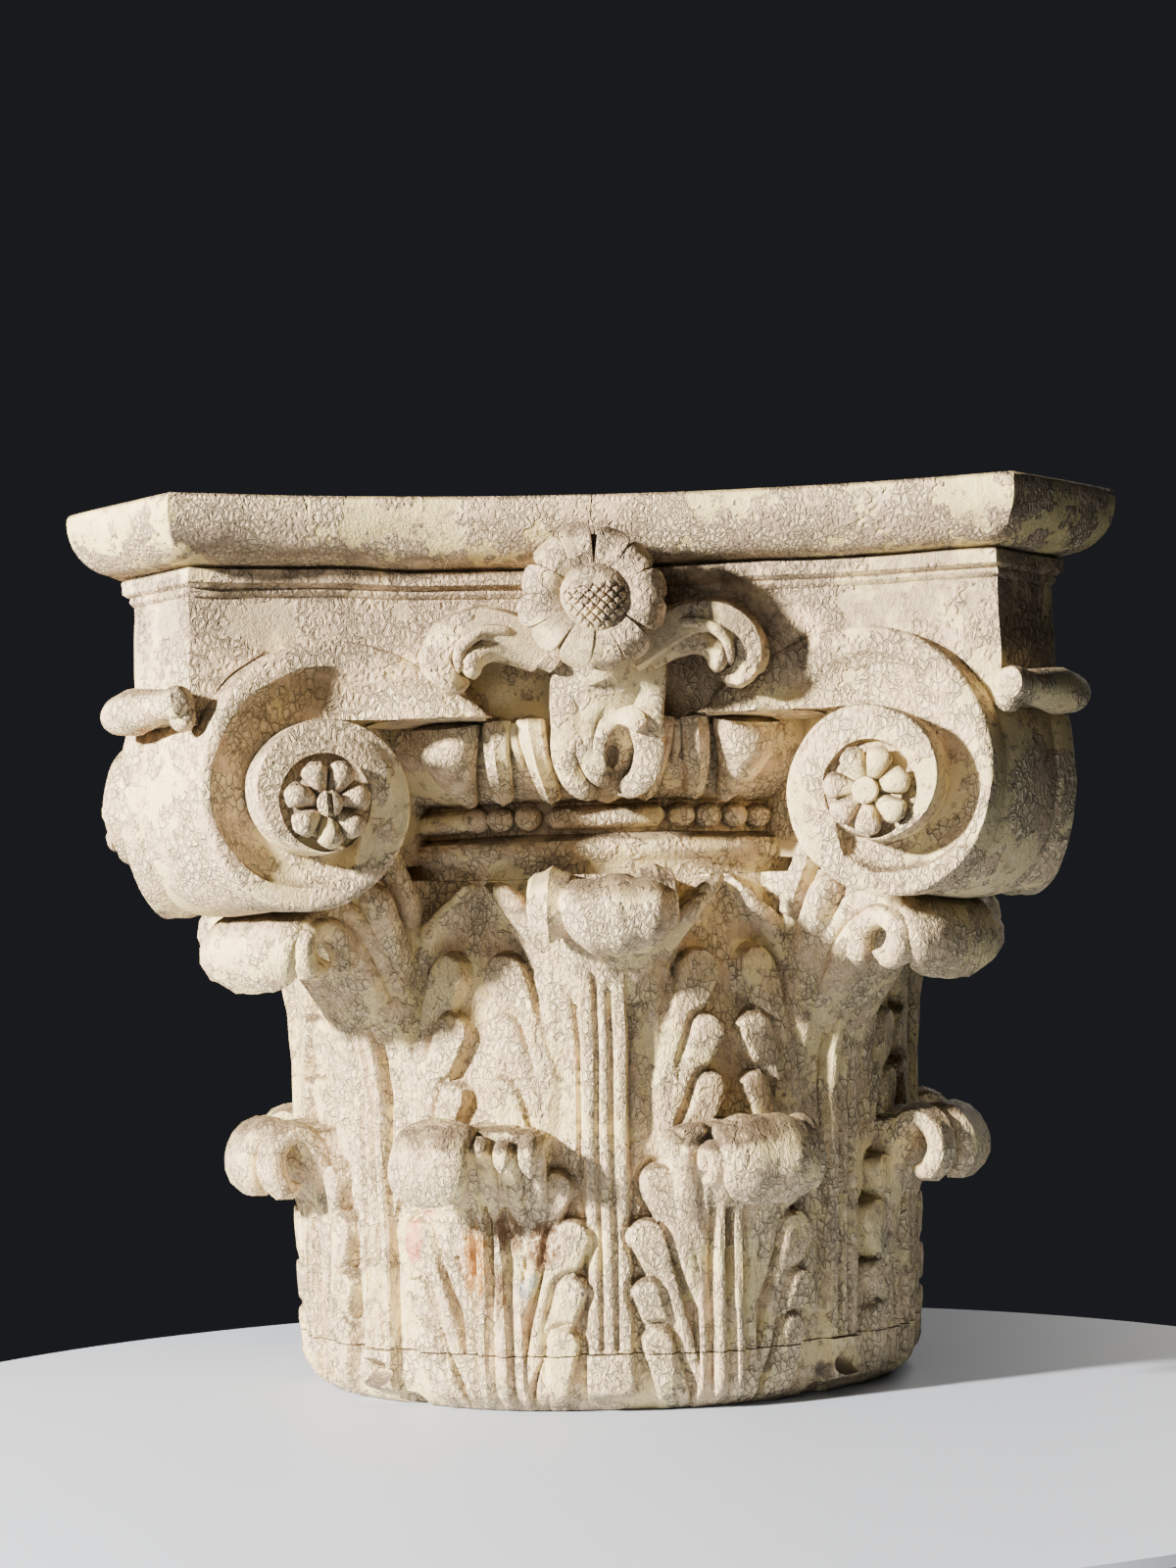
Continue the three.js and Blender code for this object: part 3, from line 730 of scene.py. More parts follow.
def corner_tips():
    """Curled tips of the tall leaves under the volutes."""
    edge = shifted(CORNER_CURL, -8, 4)
    whorl = ((230, 236), (237, 256), (251, 263), (264, 254), (261, 240), (249, 240))
    wing = ((184, 262), (194, 280), (203, 296), (206, 308))
    flap = ((178, 226), (198, 252), (214, 272), (222, 288))
    tips = []
    for _, azimuth in CORNERS:
        tips.append(curl(azimuth, CORNER_CURL, 0, (28, 33, 38, 40, 38), (11, 11, 12, 13), rows=26,
                         columns=30, ribs=4, relief=0.07, power=0.95))
        for side in (-1, 1):
            tips += [
                curl(azimuth, edge, (22, 28, 33), (11, 12, 9), (8, 8, 8), side, rows=22),
                curl(azimuth, whorl, (33, 38), (7, 8.5, 7), (6.5, 6.5), side, ends=(0.08, 0.2)),
                curl(azimuth, wing, (30, 35, 38, 39), (9, 12, 11, 7), (8, 8, 7), side, rows=18,
                     columns=18, ribs=2, relief=0.12),
                curl(azimuth, flap, (24, 32, 40), (8, 14, 12), (9, 10, 8), side, rows=14,
                     columns=18, ribs=2, relief=0.1),
            ]
    return tips


# ---- Volutes ----

def wedge_half(reach):
    """Half the thickness of a corner volute, which narrows outwards."""
    return NOSE_HALF + math.tan(SPLAY) * (NOSE_REACH - reach)


def onto_face(piece, azimuth, side, rise, lift):
    """Moves a piece that faces +Y at the origin onto one spiral face of a corner volute."""
    if side < 0:
        mirror_across(piece)
    piece.data.transform(Matrix.Rotation(-side * SPLAY, 4, "Z"))
    out = SPIRAL["reach"] + rise * math.sin(SPLAY)
    half = wedge_half(SPIRAL["reach"]) + rise * math.cos(SPLAY)
    shift = Vector((out, side * half, SPIRAL["height"] + lift)) * MM
    piece.data.transform(Matrix.Translation(shift))
    turn(piece, azimuth)


SPIRAL_START, SPIRAL_END = -0.18, 1.9  # in turns
TURN_STEPS = 64
# Where the columns of points lie across the spiral band, as shares of its width.
BAND = np.array([
    0, 0.02, 0.05, 0.1, 0.15, 0.19, 0.22, 0.26, 0.34, 0.45, 0.57, 0.7, 0.82, 0.92, 0.955, 0.97, 0.985, 1,
])
# The rim's share of the band's width at each turn. Past one the channel has run out.
RIM_SHARES = [
    (-0.2, 0.37), (0, 0.33), (0.12, 0.27), (0.25, 0.24), (0.4, 0.25), (0.5, 0.31), (0.57, 0.5), (0.65, 1.1),
]
# Half of the side between the faces: how far along from its middle, and how far it sinks in.
SIDE_HALF = ((0.9, 0.6), (0.72, 0.2), (0.62, 2.6), (0.55, 1.2), (0.3, -0.6))
SIDE_PROFILE = (*SIDE_HALF, (0, -1.4), *((-share, sink) for share, sink in reversed(SIDE_HALF)))
RECESS_RADIUS = 25.5
EYE_TOP = 16
PROUD_EYE_TOP = 25  # the eye that shows at the left of the photograph
RECESS_DEPTH = 4.5
EGG_TOP = 372.5  # the band that runs in over the eggs stays above this


def spiral_rise(turns, band, radius, top):
    """How far the spiral band stands out of the volute's face: rim, hollow channel, inner whorl."""
    snail = top * smoothstep(turns, 0.3, 1.0)
    cone = top * smoothstep(radius, 46, 36) * smoothstep(turns, 0.6, 0.8)
    top = np.maximum(snail, cone)
    share = interpolate(turns, RIM_SHARES)
    edge = np.clip(1 - band / 0.06, 0, 1) ** 2 * smoothstep(turns, 1.5, 1.4)
    edge += 0.7 * np.clip(1 - (share - band) / 0.05, 0, 1) ** 2
    into = np.clip((band - share) / np.maximum(1 - share, 0.05), 0, 1)
    channel = np.where(band > share, 3.6 + 4 * np.sin(2.4 * into), 0)
    return top - 1.8 * edge * (band <= share) - channel


def run_in(turns):
    """How far the band stands forward before its first turn, to stay proud of the hollow die."""
    return 18 * (np.maximum(-turns, 0) / 0.18) ** 1.9


def spiral_sheet(rows, columns):
    """The faces of one spiral face by the numbers of its points, and the loop round its boundary.

    The inner edge of each turn is the outer edge of the next one, so they share their points. The
    eye's centre comes after the grid's points.
    """
    index = np.arange(rows * columns).reshape(rows, columns)
    index[: rows - TURN_STEPS, -1] = index[TURN_STEPS:, 0]
    corners = [index[:-1, :-1], index[1:, :-1], index[1:, 1:], index[:-1, 1:]]
    sheet = [tuple(quad) for quad in np.stack(corners, axis=-1).reshape(-1, 4).tolist()]
    rim = [*index[rows - TURN_STEPS - 1 :, -1], *index[-1, -2::-1]]
    sheet += [(a, b, rows * columns) for a, b in zip(rim, rim[1:])]
    return sheet, np.array([*index[:TURN_STEPS, 0], *index[0, :0:-1]])


def volute_side(points, boundary, count):
    """Adds the channelled side between two faces, whose points' numbers differ by the count."""
    first, final = points[boundary], points[boundary + count]
    inward = np.array([SPIRAL["reach"], 0, SPIRAL["height"]]) - first
    inward[:, 1] = 0
    inward /= np.linalg.norm(inward, axis=1)[:, None]
    rows = [boundary]
    for share, sink in SIDE_PROFILE:
        rows.append(np.arange(len(points), len(points) + len(boundary)))
        middle = first * (1 + share) / 2 + final * (1 - share) / 2 + inward * sink
        points = np.vstack([points, middle])
    rows.append(boundary + count)
    faces = []
    for a, b in zip(rows, rows[1:]):
        quads = np.stack([np.roll(a, -1), a, b, np.roll(b, -1)], axis=-1)
        faces += [tuple(quad) for quad in quads.tolist()]
    return points, faces


def turn_faces_out(piece):
    """Drops points that no face uses and turns all faces outwards."""
    mesh = bmesh.new()
    mesh.from_mesh(piece.data)
    bmesh.ops.delete(mesh, geom=[v for v in mesh.verts if not v.link_faces], context="VERTS")
    bmesh.ops.recalc_face_normals(mesh, faces=mesh.faces)
    mesh.to_mesh(piece.data)
    mesh.free()
    if signed_volume(piece.data) < 0:
        piece.data.flip_normals()


def make_volute(eye_tops):
    """One corner volute in its own frame: two spiral faces and the channelled side between them."""
    turns = np.arange(SPIRAL_START, SPIRAL_END, 1 / TURN_STEPS)
    t, f = np.meshgrid(turns, BAND, indexing="ij")
    radius = SPIRAL["radius"] * 0.5 ** (t + f)
    radius *= 1 - 0.06 * np.sin(math.pi * np.clip((t + f - 0.4) / 0.7, 0, 1)) ** 2
    # Before the first turn the band runs in along the face and ends over the eggs. There its last
    # columns turn under it and back beneath the inner whorl, so that the eggs stay clear.
    early = smoothstep(-t, 0, 0.05)
    column = np.broadcast_to(np.arange(len(BAND)), t.shape)
    fold = len(BAND) - 2
    radius = np.where(column == fold, radius * 0.5 ** ((1 - f) * early), radius)
    outer_squeeze = np.interp(radius, (35, 70), (1, 0.82))
    squeeze = np.where(np.sin(TURN * t) > 0, outer_squeeze, SPIRAL["squeeze"])
    reach = SPIRAL["reach"] + radius * squeeze * np.sin(TURN * t)
    height = SPIRAL["height"] + radius * np.cos(TURN * t)
    height = np.where((t < 0) & (column < fold), np.maximum(height, EGG_TOP), height)
    proud = run_in(t) * (column < fold)
    under = 34 * early * ((column == fold) | (column == fold - 1))
    sheet, boundary = spiral_sheet(*t.shape)
    points = []
    for side, top in zip((1, -1), eye_tops):
        rise = spiral_rise(t, f, radius, top)
        out = reach + rise * math.sin(SPLAY)
        half = wedge_half(reach) + rise * math.cos(SPLAY) + proud - under
        face = np.column_stack([out.ravel(), (side * half).ravel(), height.ravel()])
        eye_half = wedge_half(SPIRAL["reach"]) + top * math.cos(SPLAY)
        eye = [SPIRAL["reach"] + top * math.sin(SPLAY), side * eye_half, SPIRAL["height"]]
        points.append(np.vstack([face, eye]))
    count = len(points[0])
    faces = sheet + [tuple(count + v for v in reversed(face)) for face in sheet]
    points, side_faces = volute_side(np.vstack(points), boundary, count)
    volute = solid("volute", points, faces + side_faces)
    turn_faces_out(volute)
    recesses = []
    for side, top in zip((1, -1), eye_tops):
        wall = [(RECESS_RADIUS - 1, 0), (RECESS_RADIUS, 2), (RECESS_RADIUS + 2, 24)]
        recess = revolve("recess", wall, 56)
        turn(recess, -90, "X")
        onto_face(recess, 0, side, top - RECESS_DEPTH, -3)
        recesses.append(recess)
    return combine(volute, recesses, "DIFFERENCE")


def make_volute_core():
    """The solid behind a volute that ties it to the bell."""
    sections = ((120, 24, 300, 376), (185, 27, 296, 390), (220, 40, 292, 400), (250, 44, 292, 400))
    rings = []
    for reach, half, low, high in sections:
        rings.append([(reach, -half, low), (reach, half, low), (reach, half, high), (reach, -half, high)])
    return loft("core", rings)


def make_corner_roll():
    """The turned roll across a volute's outer side, with a knob at each end."""
    centres = [(332, y, 378 + 0.05 * y) for y in np.linspace(-34, 34, 19)]
    widths = (9, 12.5, 12, 8.6, 8, 8, 8.4, 10, 9.5)
    roll = sweep(centres, (0, 0, 1), widths, widths, columns=16, ends=(0.1, 0.12), power=1)
    lump = ball((328, 25, 372), (7, 8, 7.5))
    web = sweep([(318, y, 376) for y in (-26, -10, 10, 26)], (0, 0, 1), 7, 9, ends=(0, 0))
    return combine(roll, [lump, web])


# ---- Echinus, beads, eggs and darts ----

def make_bell_top():
    profile = [(150, BELL_CUT - 4), (166.5, BELL_CUT - 4), (166, 293), (168.5, 297), (171, 300), (171.5, 304)]
    profile += [(169.5, 308), (165, 310), (161, 312), (160.5, 329), (165, 331), (171, 334), (180, 342)]
    profile += [(187, 351), (192, 361), (194, 371), (193, 376), (150, 376)]
    return revolve("bell_top", profile, 180)


def make_bead_ring():
    """Beads between long reels, the same on each face."""
    pieces = []
    for azimuth in SIDES:
        for x in (-70, -56, -40, 47, 63, 80, 96):
            centre = polar(azimuth + x / BEAD_RING / DEG, BEAD_RING - 3.2, BEAD_HEIGHT)
            pieces.append(ball(centre, (8, 8, BEAD_RADIUS), rows=8))
        for start, end, rows, half, thick in ((-31, 39, 13, 6.6, 7.6), (104, 192, 15, 6.4, 7.4)):
            angles = azimuth + np.linspace(start, end, rows) / BEAD_RING / DEG
            reel = polar(angles, BEAD_RING - 4.5, BEAD_HEIGHT)
            pieces.append(sweep(reel, (0, 0, 1), half, thick, ends=(0.05, 0.05), power=1))
    return pieces


def make_egg(azimuth):
    heights = np.array([329, 333, 340, 350, 360, 368, 373, 374.5])
    widths = (3, 9, 14.5, 18.5, 20, 20, 19.5, 18)
    thicks = (4, 9, 12, 13.5, 14, 14, 13, 10)
    radii = np.interp(heights, [329, 340, 355, 375], [170, 187, 201, 206])
    centres = smooth_path(polar(azimuth, radii, heights), 16)
    sideways = polar(azimuth + 90, 1.0, 0.0)
    return sweep(centres, sideways, widths, thicks, columns=20, ends=(0.04, 0.02), power=0.95)


def make_dart(azimuth):
    """An M-shaped dart: two splayed legs with a short tongue between them, on a flat back."""
    leg = ((174, 331), (187, 341), (198, 352), (203, 364), (202, 374))
    parts = []
    for side in (-1, 1):
        parts.append(curl(azimuth, leg, (14, 10.5, 9, 9), (5.5, 7.2, 7.8, 8.2), (7, 6.5, 6), side,
                          rows=16, columns=16, ends=(0.12, 0.05), ribs=2, relief=0.14))
    tongue = ((188, 347), (197, 356), (200, 366), (200, 373))
    parts.append(curl(azimuth, tongue, 0, (2.5, 3.6, 4.5), (5, 6, 6), rows=10, columns=10))
    back = ((173, 334), (186, 346), (194, 358), (195, 373))
    parts.append(curl(azimuth, back, 0, (11, 10, 12), (5, 5, 5), rows=8, columns=10, ends=(0.1, 0.05)))
    return combine(parts[0], parts[1:])


# ---- Flower, stem and side scrolls of one face, modelled at the front ----

FLOWER_HEIGHT = 430
FLOWER_DEPTH = 249  # from the axis to the petals
BOSS_DEPTH = 204  # and to the back of the boss behind them
SEED_RADIUS = 20.5


def make_flower():
    pieces = []
    random = np.random.default_rng(29)
    petals = 12
    for k in range(petals):
        angle = (k + 0.35) / petals * TURN + random.uniform(-0.05, 0.05)
        long = 38.5 + random.uniform(-1.5, 1.5)
        direction = np.array([math.cos(angle), 0, math.sin(angle)])
        share = np.linspace(0, 1, 12)[:, None]
        lift = 2 + random.uniform(7, 9) * np.sin(share * math.pi * 0.8) - random.uniform(5, 9) * share ** 3
        base = np.array([0, -FLOWER_DEPTH, FLOWER_HEIGHT])
        centres = base + direction * (12 + (long - 12) * share) + np.array([0, -1, 0]) * lift
        sideways = np.array([-math.sin(angle), 0, math.cos(angle)])
        pieces.append(
            sweep(centres, sideways, (3.5, 6.4, 8.6, 9.4, 8.2), (4.2, 5, 4.4), columns=14,
                  dish=0.7, ends=(0.05, 0.34))
        )
    # A turned boss behind the petals reaches back to the fascia.
    back = revolve("boss", [(24, 0), (28, 14), (31, 30), (33, 44), (33, 50), (20, 54)], 24)
    turn(back, 90, "X")
    back.data.transform(Matrix.Translation((0, -BOSS_DEPTH * MM, FLOWER_HEIGHT * MM)))
    return combine(back, pieces + [make_seed_head()])


def make_seed_head():
    """The dome of the flower, cut into small lozenges over its lower half."""
    rings = []
    columns = 96
    angles = np.arange(columns) / columns * TURN
    for tilt in np.linspace(0.02, 1.0, 30) * math.pi / 2:
        radius = SEED_RADIUS * math.sin(tilt)
        x, z = radius * np.cos(angles), radius * np.sin(angles)
        diagonal = np.maximum(np.cos((x + z) * 1.1), np.cos((x - z) * 1.1))
        cut = 1.7 * smoothstep(diagonal, 0.4, 1) * smoothstep(z, 8, 2) * smoothstep(np.hypot(x, z), 18, 15)
        depth = FLOWER_DEPTH + 3 + 15 * math.cos(tilt) - cut
        rings.append(np.column_stack([x + 1, -depth, z + FLOWER_HEIGHT - 1]))
    rings.append(np.column_stack([x, -np.full(columns, FLOWER_DEPTH - 10.0), z + FLOWER_HEIGHT - 1]))
    return loft("seed_head", rings)


def make_stem():
    """The stem under the flower: two arms, a pear-shaped bulb and a leaf twisted round an eye."""
    core = strand(
        ((4, 420), (4, 402), (5, 384), (5, 366), (6, 348), (6, 336), (6, 328)),
        (224, 212, 200, 197, 193, 186, 176), (15, 21, 27, 29, 28, 22, 9), (20, 17, 13, 13, 13, 11, 7),
        rows=26, columns=22,
    )
    lines = (
        # left edge, right edge, the leaf over the top, the curl round the eye
        (((-15, 404), (-17, 386), (-15, 368), (-17, 352), (-12, 338), (1, 330)),
         (220, 213, 209, 207, 201, 191), (6, 7, 8, 9, 8, 5), (7, 7.5, 8, 7)),
        (((32, 404), (30, 388), (27, 370), (29, 354), (24, 339), (12, 331)),
         (220, 213, 210, 207, 201, 191), (7, 8, 9, 10, 9, 6), (7, 7.5, 8, 7)),
        (((-10, 391), (0, 398), (13, 400), (25, 396), (30, 384)),
         (222, 225, 225, 221, 214), (8, 11, 12, 10, 6), (6, 7, 6)),
        (((20, 393), (6, 387), (-4, 376), (-7, 360), (-3, 345), (6, 335)),
         (220, 218, 215, 212, 206, 197), (7, 8, 8.5, 8, 7, 4), (6.5, 6.5, 6)),
        (((26, 364), (18, 371), (9, 371), (3, 362), (1, 350), (5, 341)),
         (213, 214, 214, 212, 208, 202), (5.5, 6.5, 6, 5, 3), (5, 5, 4)),
    )
    parts = [strand(*line, dish=-0.3) for line in lines]
    eye = ball((9, -208, 349), (4.6, 14, 9.5))
    return combine(combine(core, parts), [eye], "DIFFERENCE")


def make_side_scroll():
    """The fleshy scroll that springs from behind the flower to the right and curls down."""
    path = ((16, 400), (30, 408), (46, 417), (62, 420), (76, 413), (81, 401), (75, 390), (66, 390))
    depth = (222, 226, 230, 233, 232, 229, 226, 224)
    parts = [strand(path, depth, (9, 10, 11, 11, 10, 10, 9, 7), (10, 11, 11, 11, 10, 9),
                    rows=26, columns=22, ends=(0.05, 0.14), ribs=3, relief=0.14)]
    inner = ((28, 400), (42, 407), (55, 408), (64, 401), (63, 391))
    parts.append(strand(inner, (220, 226, 231, 233, 231), (7, 8, 8, 7, 6), (9, 10, 9),
                        ends=(0.05, 0.2)))
    outer = ((50, 424), (66, 425), (80, 415), (86, 401), (80, 390))
    parts.append(strand(outer, (226, 227, 226, 224, 222), (6, 7, 7, 6), (8, 9, 8), ends=(0.1, 0.2)))
    ridge = ((44, 416), (58, 416), (69, 407), (71, 394))
    parts.append(strand(ridge, (236, 239, 240, 236), (3, 3.6, 3.4, 3), (5, 5, 4), ends=(0.1, 0.2)))
    return combine(parts[0], parts[1:])


def make_face_ornament():
    """The flower, stem, scrolls, eggs and darts of the front face, as one solid."""
    scroll = make_side_scroll()
    mirrored = turned_copy(scroll, 180, mirror=True)
    parts = [make_flower(), scroll, mirrored]
    for angle in (-23.5, 23.5):
        parts.append(make_egg(-90 + angle))
    for angle in (-12.5, 12.5):
        parts.append(make_dart(-90 + angle))
    return combine(make_stem(), parts)


# ---- The three big pieces ----

def make_block_and_foot():
    """The carved block with all that is carved on it, and the foot ring under it."""
    relief = make_bell(1.3)
    block = relief_solid("capital_block_carved", relief, FOOT_TOP + SEAM / 2, BELL_CUT)
    foot = relief_solid("foot_ring_carved", relief, 0, FOOT_TOP - SEAM / 2)
    thin_out(block, 0.26)
    thin_out(foot, 0.5)
    parts = [make_bell_top(), make_die_with_hollows()] + make_bead_ring()
    parts += lower_tips() + upper_tips() + corner_tips()
    for name, azimuth in CORNERS:
        far = PROUD_EYE_TOP if name == "front_left" else EYE_TOP
        volute = combine(make_volute((EYE_TOP, far)), [make_volute_core(), make_corner_roll()])
        parts.append(turned_copy(volute, azimuth, mirror=(name == "front_right")))
        bpy.data.objects.remove(volute)
    ornament = make_face_ornament()
    for azimuth in SIDES:
        parts.append(turned_copy(ornament, azimuth + 90))
    bpy.data.objects.remove(ornament)
    combine(block, parts)
    holes = []
    for azimuth, niche in ((-130, -136), (-49, -43.5)):
        holes.append(ball(polar(azimuth, 173, 0), (12, 12, 8)))
        holes.append(ball(polar(niche, 188, 18), (17, 17, 8.5)))
    combine(foot, holes, "DIFFERENCE")
    thin_out(block, 0.68)  # to under 200,000 triangles
    return block, foot


CLEAR_OF_FACE = 300  # cutting shapes start this far out


def crack_blade(x_top, top, x_foot, foot, width):
    """A thin jagged blade from the front, to cut a crack between two heights. It tapers down."""
    blade = []
    for share in np.linspace(0, 1, 7):
        x = x_top + (x_foot - x_top) * share + 0.9 * math.sin(9 * share)
        z = top + (foot - top) * share
        half = width * (1.1 - 0.7 * share)
        blade.append([(x - half, -CLEAR_OF_FACE, z), (x + half, -CLEAR_OF_FACE, z), (x, -196, z)])
    return loft("crack", blade)


def make_die_with_hollows():
    """The die, cut back over the darts and along the channel that runs into each volute."""
    over_darts = ((24, 366), (57, 366), (60, 375), (84, 404), (70, 410), (40, 412), (24, 404))
    channel = (
        (50, 366), (172, 366), (172, 390), (158, 396), (146, 397), (127, 394), (108, 389), (95, 384),
        (84, 378), (74, 373),
    )
    die = make_die()
    hollows = []
    for azimuth in SIDES:
        for side in (-1, 1):
            for outline, depth in ((over_darts, 193), (channel, 201)):
                rings = [[(side * x, -y, z) for x, z in outline] for y in (depth, CLEAR_OF_FACE)]
                hollows.append(loft("hollow", rings))
                turn(hollows[-1], azimuth + 90)
            hollows.append(make_quirk(side))
            turn(hollows[-1], azimuth + 90)
    return combine(die, hollows, "DIFFERENCE")


def make_quirk(side):
    """The thin line cut round the volute's rim where it runs out over the die, at the front."""
    turns = np.linspace(-0.17, 0.13, 16)
    radius = SPIRAL["radius"] * 0.5 ** turns + 1.4
    reach = SPIRAL["reach"] + radius * SPIRAL["squeeze"] * np.sin(TURN * turns)
    across = (reach - wedge_half(reach) - run_in(turns)) * math.sqrt(0.5)
    height = SPIRAL["height"] + radius * np.cos(TURN * turns)
    depth = side_distance(FASCIA, across) + 0.6
    return strand(np.column_stack([side * across, height]), depth, 2, 2.6, rows=40, columns=8, power=1)


# ---- Rosettes and pegs ----

def make_rosette(seed):
    """Seven cupped petals round a hole for the peg, facing +Y at the origin."""
    random = np.random.default_rng(seed)
    pieces = []
    for k in range(7):
        angle = (k + 0.25) / 7 * TURN + random.uniform(-0.05, 0.05)
        long = 24 + random.uniform(-0.8, 0.4)
        share = np.linspace(0, 1, 10)[:, None]
        direction = np.array([math.cos(angle), 0, math.sin(angle)])
        lift = 2.6 + 3.6 * np.sin(share * math.pi * 0.75)
        centres = direction * (6 + (long - 6) * share) + np.array([0, 1, 0]) * lift
        sideways = np.array([-math.sin(angle), 0, math.cos(angle)])
        pieces.append(sweep(centres, sideways, (3.4, 6.2, 7.8, 8, 7), (3, 3.8, 3.2), columns=12,
                            dish=0.4, ends=(0.05, 0.4)))
    back = revolve("disc", [(14, -12), (16, 0), (18, 0.4), (18, 3), (8, 4.5)], 28)
    turn(back, -90, "X")
    return combine(back, pieces)


def make_peg(seed):
    """The round peg in a rosette's middle. The first one's end is split."""
    random = np.random.default_rng(seed)
    peg = revolve("peg", [(5, 0), (6.8, 0.2), (7.3, 3.6), (6.6, 4.9), (4.6, 5.5), (2, 5.6)], 24)
    if seed == 0:
        slot = solid(
            "slot",
            [(x, y, z) for z in (1.5, 9) for x, y in ((-1.8, -9), (1.8, -9), (1.8, 9), (-1.8, 9))],
            [(0, 1, 2, 3), (7, 6, 5, 4), (0, 4, 5, 1), (1, 5, 6, 2), (2, 6, 7, 3), (3, 7, 4, 0)],
        )
        combine(peg, [slot], "DIFFERENCE")
    turn(peg, -90, "X")
    peg.data.transform(Matrix.Rotation(random.uniform(-0.2, 0.2), 4, "Y"))
    return peg


def make_rosettes():
    """Rosettes and pegs by CAD node name, on each spiral face that still has them."""
    made = {}
    faces = {
        "front_left_a": (-135, 1), "front_left_b": (-135, -1), "front_right_b": (-45, -1),
        "back_right_a": (45, 1), "back_right_b": (45, -1), "back_left_a": (135, 1), "back_left_b": (135, -1),
    }
    for seed, (name, (azimuth, side)) in enumerate(faces.items()):
        rosette = make_rosette(40 + seed)
        # The rosette that shows at the left of the photograph has come forward a little.
        rise = PROUD_EYE_TOP + 1.5 if name == "front_left_b" else EYE_TOP - RECESS_DEPTH + 1.2
        onto_face(rosette, azimuth, side, rise, -4)
        peg = make_peg(seed)
        onto_face(peg, azimuth, side, rise + 5.8, -4)
        made["rosette_" + name] = rosette
        made["peg_" + name] = peg
    return made


# ---- Finishes ----

def colour(red, green, blue):
    """A linear colour from its sRGB values, 0 to 255."""
    values = [v / 255 for v in (red, green, blue)]
    return [v / 12.92 if v < 0.04 else ((v + 0.055) / 1.055) ** 2.4 for v in values] + [1]


class Finish:
    """A material painted in object space. Its functions add shader nodes and return their outputs.

    Their arguments may be numbers, colours or the outputs of other nodes.
    """

    def __init__(self, name):
        self.material = bpy.data.materials.new(name)
        self.material.use_nodes = True
        self.tree = self.material.node_tree
        self.shader = self.tree.nodes["Principled BSDF"]
        self.place = self.add("ShaderNodeTexCoord", {}, "Object")

    def feed(self, socket, value):
        if isinstance(value, bpy.types.NodeSocket):
            self.tree.links.new(value, socket)
        else:
            socket.default_value = value

    def add(self, kind, inputs, output=0, **settings):
        """A node with values or links at some of its inputs."""
        node = self.tree.nodes.new(kind)
        for key, value in settings.items():
            setattr(node, key, value)
        for key, value in inputs.items():
            self.feed(node.inputs[key], value)
        return node.outputs[output]

    def math(self, operation, first, second):
        return self.add("ShaderNodeMath", {0: first, 1: second}, operation=operation)

    def vector(self, operation, first, second):
        second_input = "Scale" if operation == "SCALE" else 1
        return self.add("ShaderNodeVectorMath", {0: first, second_input: second}, operation=operation)

    def times(self, *values):
        return functools.reduce(lambda total, value: self.math("MULTIPLY", total, value), values)

    def plus(self, *values):
        return functools.reduce(lambda total, value: self.math("ADD", total, value), values)

    def flip(self, value):
        return self.math("SUBTRACT", 1.0, value)

    def ramp(self, value, low, high):
        """0 at low, 1 at high, smooth between. Low may be the larger."""
        ends = (low, high, 0.0, 1.0) if low < high else (high, low, 1.0, 0.0)
        inputs = dict(enumerate((value, *ends)))
        return self.add("ShaderNodeMapRange", inputs, interpolation_type="SMOOTHSTEP")

    def mix(self, share, first, second):
        return self.add("ShaderNodeMix", {0: share, 6: first, 7: second}, 2, data_type="RGBA")

    def stretched(self, scale, place):
        return self.add("ShaderNodeMapping", {"Vector": place, "Scale": scale})

    def noise(self, size, detail=2, rough=0.55, place=None):
        """Cloudy noise about 0.5, with lumps of the size given in millimetres."""
        inputs = {"Vector": place or self.place, "Scale": 1 / (size * MM)}
        return self.add("ShaderNodeTexNoise", {**inputs, "Detail": detail, "Roughness": rough})

    def warped(self, size, amount):
        """The place moved about by noise, so that regular patterns lose their regularity."""
        inputs = {"Vector": self.place, "Scale": 1 / (size * MM)}
        shift = self.add("ShaderNodeTexNoise", inputs, "Color")
        return self.vector("ADD", self.place, self.vector("SCALE", shift, amount * MM))

    def cells(self, size, feature, place, output):
        inputs = {"Vector": place, "Scale": 1 / (size * MM)}
        return self.add("ShaderNodeTexVoronoi", inputs, output, feature=feature)

    def axis(self, letter):
        return self.add("ShaderNodeSeparateXYZ", {0: self.place}, letter)

    def near(self, centre, radii):
        """1 at a point in millimetres and 0 beyond the radii, with a ragged edge."""
        offset = self.vector("SUBTRACT", self.ragged, [v * MM for v in centre])
        sized = self.vector("DIVIDE", offset, [v * MM for v in radii])
        length = self.add("ShaderNodeVectorMath", {0: sized}, "Value", operation="LENGTH")
        return self.ramp(length, 1.05, 0.75)

    def occlusion(self, distance):
        """1 on open surfaces, less in hollows."""
        return self.add("ShaderNodeAmbientOcclusion", {"Distance": distance * MM}, "AO", samples=4)

    def facing_up(self, low, high):
        normal = self.add("ShaderNodeNewGeometry", {}, "Normal")
        return self.ramp(self.add("ShaderNodeSeparateXYZ", {0: normal}, "Z"), low, high)

    def finish(self, base, roughness, height, depth):
        """Connects the colour and roughness, and turns a height in shares of the depth into bumps."""
        bump = self.add("ShaderNodeBump", {"Distance": depth * MM, "Height": height})
        self.feed(self.shader.inputs["Base Color"], base)
        self.feed(self.shader.inputs["Roughness"], roughness)
        self.feed(self.shader.inputs["Normal"], bump)
        self.shader.inputs["Specular IOR Level"].default_value = 0.3
        return self.material


